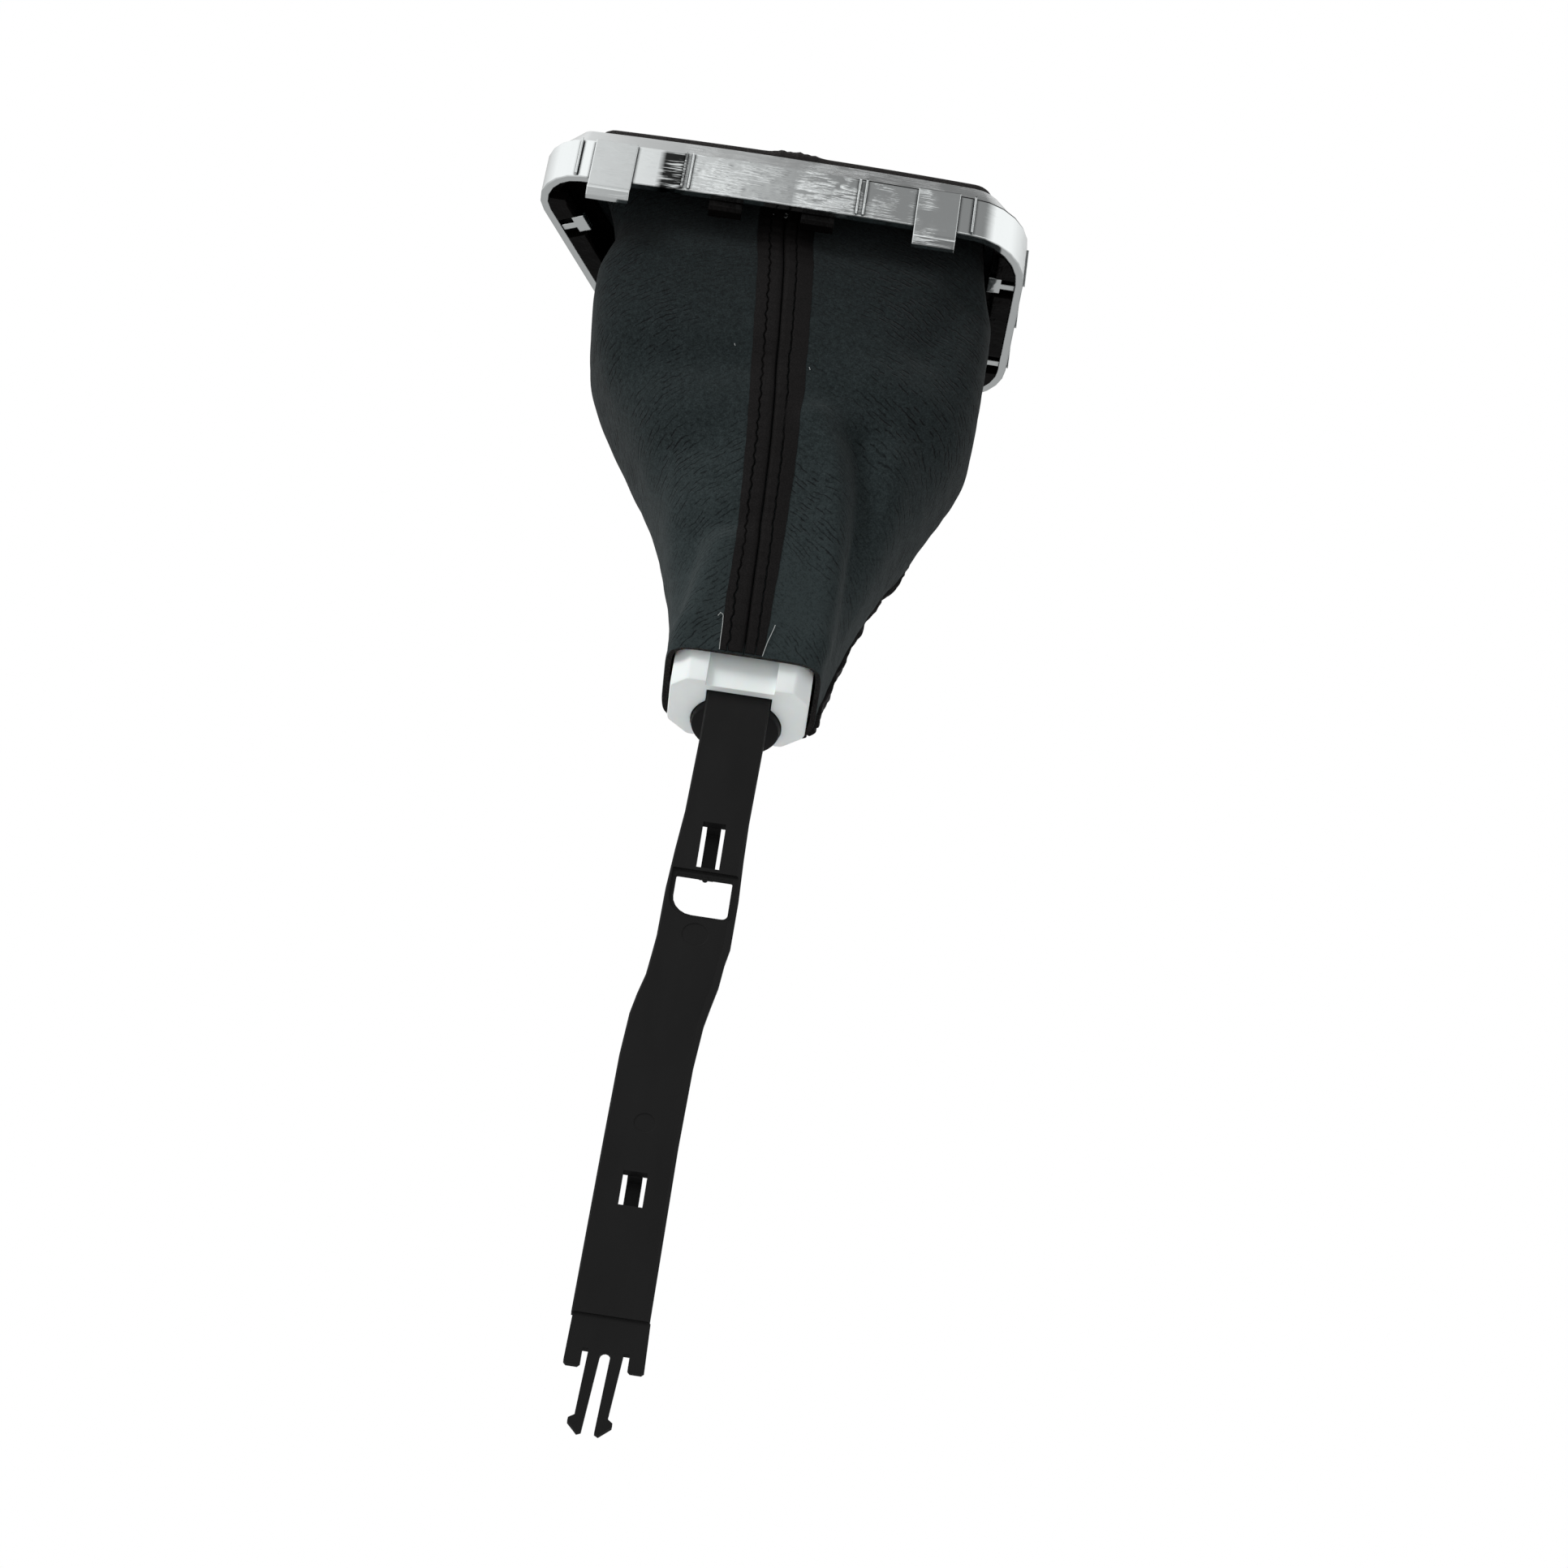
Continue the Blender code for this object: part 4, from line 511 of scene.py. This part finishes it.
def control_rows():
    """The gaiter's rows as loops of points that start at the near seam and run to the right."""
    angles = -math.pi / 2 + 2 * math.pi * np.arange(SPOKES) / SPOKES
    rear = int(SPOKES * (REAR_SEAM + math.pi / 2) / (2 * math.pi))
    rows = [(rim_outline(inset), z, SEAM_TOP_X) for inset, z in RIM_ROWS]
    left, right, near, far = MOUTH_BOX
    for up, wl, wr, wn, wf, power, seam in HANGING_ROWS:
        untuck = [tuck * min(1.0, up / 0.15) for tuck in MOUTH_TUCK]
        outline = hanging_outline(left - wl - untuck[0], right + wr + untuck[1], near - wn - untuck[2],
                                  far + wf, power)
        rows.append((outline, MOUTH_Z * (1 - up), AXIS_X + seam))
    inside = rim_outline(FRAME_INSET)
    loops = []
    for outline, z, seam_x in rows:
        origin = np.array((seam_x, outline[:, 1].mean()))
        reach = polar(outline, origin, angles)
        if -1.0 < z < HEM_Z:
            reach = np.minimum(reach, polar(inside, origin, angles))
        loop = np.stack([origin[0] + reach * np.cos(angles), origin[1] + reach * np.sin(angles),
                         np.full(SPOKES, z)], axis=1)
        right_side = even_columns(loop, 0, rear, RIGHT_COLUMNS)
        left_side = even_columns(loop, rear, SPOKES, LEFT_COLUMNS)
        loops.append(np.concatenate([right_side[:-1], left_side[:-1]]))
    return np.array(loops)


def fill_rows(rows):
    """Smooth rows about STEP apart through the given ones, which never bulge past them."""
    gaps = np.linalg.norm(np.diff(rows, axis=0), axis=2).mean(axis=1)
    at = np.concatenate([[0], np.cumsum(gaps)])
    steep = np.diff(rows, axis=0) / gaps[:, None, None]
    before, after = steep[:-1], steep[1:]
    product = before * after
    total = before + after
    safe = np.where(abs(total) < 1e-9, 1.0, total)
    slopes = np.concatenate([steep[:1], np.where(product > 0, 2 * product / safe, 0.0), steep[-1:]])
    made = []
    for place in np.linspace(0, at[-1], int(at[-1] / STEP)):
        i = min(int(np.searchsorted(at, place, side="right")) - 1, len(gaps) - 1)
        t = (place - at[i]) / gaps[i]
        made.append((2 * t ** 3 - 3 * t ** 2 + 1) * rows[i] + (t ** 3 - 2 * t ** 2 + t) * gaps[i] * slopes[i]
                    + (3 * t ** 2 - 2 * t ** 3) * rows[i + 1] + (t ** 3 - t ** 2) * gaps[i] * slopes[i + 1])
    return np.array(made)


def normals_of(grid):
    """Outward normals of a grid whose columns close round."""
    down = np.gradient(grid, axis=0)
    across = np.roll(grid, -1, axis=1) - np.roll(grid, 1, axis=1)
    normal = np.cross(down, across)
    return normal / np.maximum(np.linalg.norm(normal, axis=2, keepdims=True), 1e-12)


def smooth_step(value, low, high):
    """A share that leaves 0 at low and reaches 1 at high, both softly."""
    share = np.clip((value - low) / (high - low), 0, 1)
    return share * share * (3 - 2 * share)


def add_folds(grid, normal):
    """Push the hanging part in and out along its normals, with broad folds and a soft slackness."""
    x, z = grid[..., 0], grid[..., 2]
    beside, above = x - AXIS_X, z - MOUTH_Z
    fade = np.clip(above / FOLD_FADE, 0, 1) * np.clip(-z / FOLD_FADE, 0, 1)
    facing = np.clip((-normal[..., 1] - 0.1) / 0.7, 0, 1)
    push = np.zeros(x.shape)
    for line, width, height in GAITER_FOLDS:
        nearest = np.full(x.shape, 1e9)
        for (x0, z0), (x1, z1) in zip(line, line[1:]):
            dx, dz = x1 - x0, z1 - z0
            share = np.clip(((beside - x0) * dx + (above - z0) * dz) / (dx * dx + dz * dz), 0, 1)
            nearest = np.minimum(nearest, np.hypot(beside - x0 - share * dx, above - z0 - share * dz))
        push += FOLD_DEPTH * height * np.exp(-(nearest / width) ** 2) * facing
    # The far side is out of the main view and only billows
    far = smooth_step(normal[..., 1], 0.1, 0.8)
    push += far * (0.9 * np.sin(x * 0.21 + z * 0.09) + 0.6 * np.sin(x * 0.13 - z * 0.17 + 1.1)
                   + 0.3 * np.sin(z * 0.31 + x * 0.05))
    push += 0.10 * np.sin(x * 0.55 + z * 0.43) * np.sin(z * 0.37 - x * 0.21)
    return grid + normal * (push * fade)[..., None]


ROWS = fill_rows(control_rows())
ROWS = add_folds(ROWS, normals_of(ROWS))
NORMALS = normals_of(ROWS)
COLUMNS = ROWS.shape[1]
# The same rows closed round, with the distance round each from the near seam to each column
CLOSED = np.concatenate([ROWS, ROWS[:, :1]], axis=1)
CLOSED_NORMALS = np.concatenate([NORMALS, NORMALS[:, :1]], axis=1)
ROUND = np.concatenate([np.zeros((len(ROWS), 1)),
                        np.cumsum(np.linalg.norm(np.diff(CLOSED, axis=1), axis=2), axis=1)], axis=1)
DOWN = np.concatenate([[0], np.cumsum(np.linalg.norm(np.diff(ROWS, axis=0), axis=2).mean(axis=1))])
HEIGHTS = ROWS[:, 0, 2]
FIRST_HANGING = int(np.argmax(HEIGHTS < FLAP_TOP))
LAST = len(ROWS) - 1
# How far a panel's backing stands back from the seam, and how far its leather laps over it
SEAM_EDGE = 0.13
SEAM_LAP = 0.04
# The turned hem at the mouth: its distance from the edge, its width and how much it swells
HEM_RUN, HEM_WIDTH, HEM_SWELL = 1.2, 1.3, 0.25
# The ridge that the seam's layers make over the roll: its half width, and where it starts and is full
RIDGE_WIDTH, RIDGE_LOW, RIDGE_HIGH = 6.5, 23.0, 28.0
# Stitches: their pitch, the share of it that is thread, and how far from the seam they are on the leather
STITCH_PITCH = 3.6
STITCH_SHARE = 0.8
STITCH_OFFSET = 3.4
# The rows of a flap are closer than the cloth's, to show its puckers; its underside is sunk into the backing
FLAP_STEP = 0.45
FLAP_BED = THICK / 2 - 0.08


def on_cloth(row, distances, lift):
    """Points raised off the cloth's middle, at a row that may lie between two and at distances from the near
    seam, positive to the right.
    """
    low = min(int(row), LAST - 1)
    points, normals = 0.0, 0.0
    for i, share in ((low, 1 - (row - low)), (low + 1, row - low)):
        at = np.mod(distances, ROUND[i, -1])
        points = points + share * np.stack(
            [np.interp(at, ROUND[i], CLOSED[i, :, k]) for k in range(3)], axis=-1)
        normals = normals + share * np.stack(
            [np.interp(at, ROUND[i], CLOSED_NORMALS[i, :, k]) for k in range(3)], axis=-1)
    normals = normals / np.linalg.norm(normals, axis=-1, keepdims=True)
    return points + normals * np.asarray(lift)[..., None]


def row_at(z):
    """The place among the hanging rows of a height."""
    return float(np.interp(-z, -HEIGHTS[FIRST_HANGING:], np.arange(FIRST_HANGING, len(ROWS))))


def gaiter_panel(name, first, last, node_name):
    """One sewn panel, knitted backing outside and leather inside, with a turned hem at the mouth."""
    bm = bmesh.new()
    cloth = bm.verts.layers.float_vector.new("cloth")
    sides = []
    for sign in (1.0, -1.0):
        grid = []
        for i in range(len(ROWS)):
            hem = math.exp(-((DOWN[-1] - DOWN[i] - HEM_RUN) / HEM_WIDTH) ** 2) * HEM_SWELL
            row = []
            for j in range(first, last + 1):
                k = j % COLUMNS
                point, normal = ROWS[i, k], NORMALS[i, k]
                around = ROUND[i, j]
                away = around if around < ROUND[i, -1] / 2 else around - ROUND[i, -1]
                if j in (first, last):
                    step = ROWS[i, (k + (1 if j == first else -1)) % COLUMNS] - point
                    point = point + step / np.linalg.norm(step) * (SEAM_EDGE if sign > 0 else -SEAM_LAP)
                lift = sign * (THICK / 2 + (hem if i > FIRST_HANGING else 0.0))
                if sign < 0 and i < FIRST_HANGING:
                    # The seam's layers make the leather stand up in lumps where it runs over the roll
                    ridge = math.exp(-(away / RIDGE_WIDTH) ** 4)
                    ridge *= float(smooth_step(point[2], RIDGE_LOW, RIDGE_HIGH))
                    lift -= ridge * (0.75 + 0.3 * math.sin(away * 1.9) * math.sin(away * 0.7 + 1))
                vert = bm.verts.new(Vector(point + normal * lift) * MM)
                # The cloth is drawn tight away from the seam and low down
                tight = 0.35 + 0.65 * float(smooth_step(abs(away), 16.0, 38.0))
                tight = max(tight, 0.9 * float(smooth_step(-point[2], 55.0, 80.0)))
                vert[cloth] = (away, HEIGHTS[i], tight)
                row.append(vert)
            grid.append(row)
        sides.append(grid)
    outer, inner = sides
    for a in range(LAST):
        for b in range(last - first):
            face = bm.faces.new((outer[a][b], outer[a][b + 1], outer[a + 1][b + 1], outer[a + 1][b]))
            face.material_index = 0
            face = bm.faces.new((inner[a][b], inner[a + 1][b], inner[a + 1][b + 1], inner[a][b + 1]))
            face.material_index = 1
        for b in (0, last - first):
            face = bm.faces.new((outer[a][b], outer[a + 1][b], inner[a + 1][b], inner[a][b]))
            face.material_index = 1
    for b in range(last - first):
        for a in (0, LAST):
            face = bm.faces.new((outer[a][b], outer[a][b + 1], inner[a][b + 1], inner[a][b]))
            face.material_index = 1
    bmesh.ops.recalc_face_normals(bm, faces=bm.faces)
    panel = add_piece(name, bm, [BACKING, GAITER_LEATHER], 75.0)
    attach(panel, "root")
    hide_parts(node_name)
    return panel


def flap_section(width, stitch, thickness, blunt):
    """A folded edge's section as distances from the seam and heights: a soft round fold beside the seam, the
    groove that its stitches pull, and the rest, which thins out or ends bluntly.
    """
    fold = [share * stitch for share in (0.0, 0.05, 0.1, 0.18, 0.3, 0.45, 0.6, 0.75)]
    groove = [stitch + step for step in (-0.5, -0.34, -0.22, -0.12, -0.04, 0.04, 0.12, 0.22, 0.34, 0.5)]
    rest = [stitch + 0.6 + (width - stitch - 0.6) * share
            for share in (0.0, 0.2, 0.4, 0.6, 0.75, 0.88, 0.96, 1.0)]
    distances = np.array(fold + groove + rest)
    swell = np.sqrt(np.clip(distances / stitch / 0.3, 0, 1))
    swell = swell * (0.82 + 0.18 * np.cos(distances / stitch * 2.2))
    outside = np.clip((distances - stitch) / (width - stitch), 0, 1)
    tail = np.where(outside < 0.97, 0.80, 0.4) if blunt else 0.78 - 0.62 * outside ** 1.6
    heights = np.where(distances < stitch, swell, tail)
    heights = heights - 0.75 * np.exp(-((distances - stitch) / 0.2) ** 2)
    return distances + SEAM_EDGE * (1 - distances / width), heights * thickness


def seam_flap(name, seam, side, widths, stitch, wave, lumps, thickness, blunt=False):
    """The folded edge beside a seam: a strip that lies on the backing and is sewn down along a groove.

    widths and stitch are (height, distance from the seam) pairs, and seam is each row's distance round. wave
    is how far the stitches stray from their line, and lumps how uneven the edge is.
    """
    bm = bmesh.new()
    top, under = [], []
    for at in np.arange(FIRST_HANGING, LAST + 0.01, FLAP_STEP / STEP):
        at = min(at, LAST)
        z = float(np.interp(at, np.arange(len(ROWS)), HEIGHTS))
        middle = float(np.interp(at, np.arange(len(ROWS)), seam))
        width = float(np.interp(-z, [-h for h, _ in widths], [w for _, w in widths]))
        width += lumps * (0.5 * math.sin(z * 0.43 + side) + 0.35 * math.sin(z * 0.97 + 2 * side))
        line = float(np.interp(-z, [-h for h, _ in stitch], [w for _, w in stitch]))
        line += wave * (math.sin(2 * math.pi * z / STITCH_PITCH) + 0.6 * math.sin(z * 0.83 + side))
        puff = 1 + 0.08 * math.sin(2 * math.pi * z / STITCH_PITCH + 1.2) + lumps * 0.35 * math.sin(z * 0.57)
        distances, heights = flap_section(width, line, thickness * puff, blunt)
        points = on_cloth(at, middle + side * distances, FLAP_BED + 0.04 + heights)
        top.append([bm.verts.new(Vector(point) * MM) for point in points])
        ends = on_cloth(at, middle + side * distances[[0, -1]], np.full(2, FLAP_BED))
        under.append([bm.verts.new(Vector(point) * MM) for point in ends])
    for a in range(len(top) - 1):
        for b in range(len(top[0]) - 1):
            bm.faces.new((top[a][b], top[a][b + 1], top[a + 1][b + 1], top[a + 1][b]))
        bm.faces.new((top[a][0], top[a + 1][0], under[a + 1][0], under[a][0]))
        bm.faces.new((top[a][-1], under[a][1], under[a + 1][1], top[a + 1][-1]))
        bm.faces.new((under[a][0], under[a + 1][0], under[a + 1][1], under[a][1]))
    for a in (0, len(top) - 1):
        bm.faces.new(top[a] + [under[a][1], under[a][0]])
    bmesh.ops.recalc_face_normals(bm, faces=bm.faces)
    flap = add_piece(name, bm, [FLAP_LEATHER], 70.0)
    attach(flap, "root")
    return flap


REAR_ROUND = ROUND[:, RIGHT_COLUMNS]
NEAR_ROUND = np.zeros(len(ROWS))
gaiter_right = gaiter_panel("gaiter_right", 0, RIGHT_COLUMNS, "gaiter_panel_right")
gaiter_left = gaiter_panel("gaiter_left", RIGHT_COLUMNS, COLUMNS, "gaiter_panel_left")
near_flap_left = seam_flap("near_flap_left", NEAR_ROUND, -1,
                           ((12, 7.6), (-57, 7.0), (-95, 6.2), (-118, 6.4), (-142, 6.6)),
                           ((12, 3.9), (-85, 3.8), (-142, 4.2)), 0.2, 0.1, 0.95)
near_flap_right = seam_flap("near_flap_right", NEAR_ROUND, 1,
                            ((12, 8.4), (-57, 8.0), (-95, 6.8), (-118, 6.0), (-142, 5.1)),
                            ((12, 3.6), (-142, 3.0)), 0.1, 0.1, 0.95)
REAR_FLAP = (((12, 6.0), (-142, 6.0)), ((12, 3.3), (-142, 3.3)), 0.15, 0.8, 1.2, True)
rear_flap_left = seam_flap("rear_flap_left", REAR_ROUND, 1, *REAR_FLAP)
rear_flap_right = seam_flap("rear_flap_right", REAR_ROUND, -1, *REAR_FLAP)


def thread(name, lines, radius, material):
    """Sewing thread: thin round tubes along lines of points in millimetres."""
    curve = bpy.data.curves.new(name, "CURVE")
    curve.dimensions = "3D"
    curve.bevel_depth = radius * MM
    curve.bevel_resolution = 2
    curve.use_fill_caps = True
    for line in lines:
        spline = curve.splines.new("POLY")
        spline.points.add(len(line) - 1)
        for place, point in zip(spline.points, line):
            place.co = (*(np.array(point) * MM), 1.0)
    curve.materials.append(material)
    item = bpy.data.objects.new(name, curve)
    bpy.context.scene.collection.objects.link(item)
    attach(item, "root")
    return item


def thread_path(stops, lift):
    """A thread laid on the cloth, slightly waved, through (distance from the near seam, height) stops."""
    stops = np.array(stops)
    at = np.linspace(0, len(stops) - 1, 16 * (len(stops) - 1))
    smooth = np.stack([np.interp(at, np.arange(len(stops)), stops[:, k]) for k in range(2)], axis=1)
    for _ in range(6):
        smooth[1:-1] = (smooth[:-2] + 2 * smooth[1:-1] + smooth[2:]) / 4
    made = []
    for n, (distance, z) in enumerate(smooth):
        made.append(on_cloth(row_at(z), distance, THICK / 2 + lift + 0.15 * math.sin(n * 0.5)))
    return made


# Loose ends of sewing thread and two bits of lint, as (distance from the near seam, height)
THREAD_ENDS = (
    ((-8.0, -131.6), (-7.4, -130.6), (-6.6, -131.2), (-6.5, -133.5), (-6.5, -137.0), (-6.4, -141.0)),
    ((7.1, -132.0), (6.6, -134.0), (5.7, -137.0), (4.9, -141.0)),
    ((-4.4, 7.1), (-3.4, 6.1), (-1.8, 5.5), (0.0, 5.7), (0.7, 6.7), (-0.1, 7.3), (-1.3, 6.8), (-1.6, 5.7)),
    ((-12.0, -46.0), (-11.8, -46.5)), ((8.9, -51.0), (9.2, -51.8)),
)
thread_ends = thread("thread_ends", [thread_path(stops, 0.35) for stops in THREAD_ENDS], 0.085,
                     WHITE_THREAD)


def stitch_rows():
    """Two rows of stitches on the leather side of each seam, each sunk into the leather at its ends."""
    lines = []
    for seam in (NEAR_ROUND, REAR_ROUND):
        for side in (-1, 1):
            for start in np.arange(DOWN[FIRST_HANGING], DOWN[-1] - STITCH_PITCH, STITCH_PITCH):
                line = []
                for share in np.linspace(0, 1, 7):
                    run = start + share * STITCH_PITCH * STITCH_SHARE
                    row = float(np.interp(run, DOWN, np.arange(len(ROWS))))
                    middle = float(np.interp(row, np.arange(len(ROWS)), seam))
                    lift = -THICK / 2 - 0.16 * math.sin(math.pi * share)
                    line.append(on_cloth(row, middle + side * STITCH_OFFSET, lift))
                lines.append(line)
    return lines


inner_stitches = thread("inner_stitches", stitch_rows(), 0.2, BLACK_THREAD)


# Print on the knob's cap: a plain shift pattern

def cap_print():
    """Numbers and gate lines laid on the cap's dome."""
    low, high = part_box("knob_cap")
    centre = Vector(((low[0] + high[0]) / 2, (low[1] + high[1]) / 2, 0.0))
    radius = (high[0] - low[0]) / 2
    dome = 1.5 * MM
    column, row, line = 5.6 * MM, 5.0 * MM, 0.35 * MM
    letter, beyond = 4.2 * MM, 2.9 * MM
    # How far the print lies over the dome's curve, so that no facet of the cap hides it
    thickness = 0.13 * MM
    bm = bmesh.new()

    def bar(x0, x1, y0, y1):
        loop = []
        for x, y in ((x0, y0), (x1, y0), (x1, y1), (x0, y1)):
            loop.append(bm.verts.new((x, y, 0.0)))
        face = bm.faces.new(loop)
        bmesh.ops.subdivide_edges(bm, edges=list(face.edges), cuts=6, use_grid_fill=True)

    xs = [column * (n - 1.5) for n in range(4)]
    for n, x in enumerate(xs):
        bar(x - line, x + line, -row if n else 0.0, row)
    bar(xs[0], xs[-1], -line, line)
    labels = [("R", xs[0], 1)] + [(str(2 * n + 1), xs[n + 1], 1) for n in range(3)]
    labels += [(str(2 * n + 2), xs[n + 1], -1) for n in range(3)]
    for text, x, side in labels:
        curve = bpy.data.curves.new("label", "FONT")
        curve.body = text
        curve.size = letter
        curve.align_x = "CENTER"
        curve.align_y = "CENTER"
        temp = bpy.data.objects.new("label", curve)
        piece = bmesh.new()
        piece.from_mesh(temp.to_mesh())
        bmesh.ops.triangulate(piece, faces=piece.faces)
        bmesh.ops.translate(piece, verts=piece.verts, vec=(x, side * (row + beyond), 0.0))
        copy = bpy.data.meshes.new("label")
        piece.to_mesh(copy)
        bm.from_mesh(copy)
        piece.free()
        bpy.data.objects.remove(temp)
        bpy.data.meshes.remove(copy)
    for vert in bm.verts:
        reach = vert.co.to_2d().length / radius
        vert.co = vert.co + centre
        vert.co.z = high[2] - dome * reach ** 2 + thickness
    return add_piece("shift_pattern", bm, [PRINT_WHITE])


shift_pattern = cap_print()
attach(shift_pattern, "root")


# Camera, light and surroundings

CAMERA_PLACE = (22.0 * MM, -745.0 * MM, -704.0 * MM)
CAMERA_LIFT = math.radians(34.5)
CAMERA_ROLL = math.radians(8.6)
CAMERA_LENS = 83.85
LIGHT_AIM = Vector((0.0, 0.02, -0.12))
FLOOR_Z = -0.82


def place_camera():
    """Look up at the near side from below, as far away as a table-top camera stands."""
    lift, roll = CAMERA_LIFT, CAMERA_ROLL
    right = Vector((1, 0, 0))
    ahead = Vector((0, math.cos(lift), math.sin(lift)))
    up = right.cross(ahead)
    tilted_right = right * math.cos(roll) + up * math.sin(roll)
    tilted_up = up * math.cos(roll) - right * math.sin(roll)
    data = bpy.data.cameras.new("camera")
    data.sensor_width = 36.0
    data.lens = CAMERA_LENS
    data.clip_start = 0.01
    camera = bpy.data.objects.new("camera", data)
    bpy.context.scene.collection.objects.link(camera)
    turn = Matrix((tilted_right, tilted_up, -ahead)).transposed().to_4x4()
    camera.matrix_world = Matrix.Translation(CAMERA_PLACE) @ turn
    bpy.context.scene.camera = camera


def area_light(name, place, size, watts):
    """A soft square lamp aimed at the middle of the gaiter."""
    data = bpy.data.lights.new(name, "AREA")
    data.size = size
    data.energy = watts
    lamp = bpy.data.objects.new(name, data)
    bpy.context.scene.collection.objects.link(lamp)
    lamp.location = place
    lamp.visible_glossy = False
    lamp.rotation_mode = "QUATERNION"
    aim = LIGHT_AIM - Vector(place)
    lamp.rotation_quaternion = aim.to_track_quat("-Z", "Y")


def light_world():
    """A white studio: soft light from above on dull surfaces, and for mirrors two grey cards in front, with a
    white gap between them, in a room that darkens to the back, to the floor and at the horizon.
    """
    world = bpy.data.worlds.new("studio")
    bpy.context.scene.world = world
    world.use_nodes = True
    tree = world.node_tree
    tree.nodes.clear()
    facing = add_node(tree, "ShaderNodeTexCoord", out="Generated")
    x, y, z = (add_node(tree, "ShaderNodeSeparateXYZ", {0: facing}, out=axis) for axis in "XYZ")
    # The cards lie between these bounds to the right, to the back and, from their gap, up and down
    card = add_node(tree, "ShaderNodeMapRange", {"Value": x, "From Min": -0.14, "From Max": 0.005})
    level = add_node(tree, "ShaderNodeMath", {0: z, 1: 0.08}, operation="SUBTRACT")
    level = add_node(tree, "ShaderNodeMath", {0: level}, operation="ABSOLUTE")
    for value, start, end in ((x, 0.55, 0.36), (y, 0.55, 0.40), (level, 0.34, 0.46)):
        share = add_node(tree, "ShaderNodeMapRange", {"Value": value, "From Min": start, "From Max": end})
        card = add_node(tree, "ShaderNodeMath", {0: card, 1: share}, operation="MULTIPLY")
    mirrored = add_node(tree, "ShaderNodeMapRange", {"Value": card, "To Min": 1.0, "To Max": 0.245})
    shaded = add_node(tree, "ShaderNodeMapRange", {"Value": y, "From Min": 0.0, "From Max": 0.72,
                                                   "To Min": 1.0, "To Max": 0.60})
    mirrored = add_node(tree, "ShaderNodeMath", {0: mirrored, 1: shaded}, operation="MULTIPLY")
    below = add_node(tree, "ShaderNodeMapRange", {"Value": z, "From Min": -0.5, "From Max": 0.05,
                                                  "To Min": 0.62})
    mirrored = add_node(tree, "ShaderNodeMath", {0: mirrored, 1: below}, operation="MULTIPLY")
    height = add_node(tree, "ShaderNodeMath", {0: z}, operation="ABSOLUTE")
    horizon = add_node(tree, "ShaderNodeMapRange", {"Value": height, "From Min": 0.45, "From Max": 0.12})
    behind = add_node(tree, "ShaderNodeMapRange", {"Value": y, "From Min": -0.5, "From Max": -0.1,
                                                   "To Max": 0.6})
    horizon = add_node(tree, "ShaderNodeMath", {0: horizon, 1: behind}, operation="MULTIPLY")
    horizon = add_node(tree, "ShaderNodeMath", {0: 1.0, 1: horizon}, operation="SUBTRACT")
    mirrored = add_node(tree, "ShaderNodeMath", {0: mirrored, 1: horizon}, operation="MULTIPLY")
    soft = add_node(tree, "ShaderNodeMapRange", {"Value": z, "From Min": -1.0, "From Max": 1.0,
                                                 "To Min": 0.27, "To Max": 0.56})
    white = srgb("#ffffff")
    glossy = add_node(tree, "ShaderNodeBackground", {"Strength": mirrored, "Color": white})
    seen = add_node(tree, "ShaderNodeBackground", {"Strength": 1.0, "Color": white})
    dull = add_node(tree, "ShaderNodeBackground", {"Strength": soft, "Color": white})
    in_mirror = add_node(tree, "ShaderNodeLightPath", out="Is Glossy Ray")
    to_camera = add_node(tree, "ShaderNodeLightPath", out="Is Camera Ray")
    through = add_node(tree, "ShaderNodeLightPath", out="Is Transmission Ray")
    direct = add_node(tree, "ShaderNodeMath", {0: to_camera, 1: through}, operation="MAXIMUM")
    indirect = add_node(tree, "ShaderNodeMixShader", {0: in_mirror, 1: dull, 2: glossy})
    both = add_node(tree, "ShaderNodeMixShader", {0: direct, 1: indirect, 2: seen})
    add_node(tree, "ShaderNodeOutputWorld", {"Surface": both})


def lay_floor():
    """A plain pale floor well below the hanging part."""
    material, _, _ = start_material("pale_floor", "#f4f4f4", 0.9)
    bm = bmesh.new()
    bmesh.ops.create_grid(bm, x_segments=1, y_segments=1, size=6.0)
    floor = add_piece("floor", bm, [material])
    floor.location.z = FLOOR_Z
    floor.visible_glossy = False


place_camera()
area_light("key", (-1.0, -0.75, 0.6), 0.5, 13.0)
area_light("fill", (0.9, -0.9, -0.1), 0.9, 0.6)
area_light("top", (0.1, 0.3, 1.2), 1.0, 5.0)
light_world()
lay_floor()
bpy.context.scene.view_settings.view_transform = "Standard"
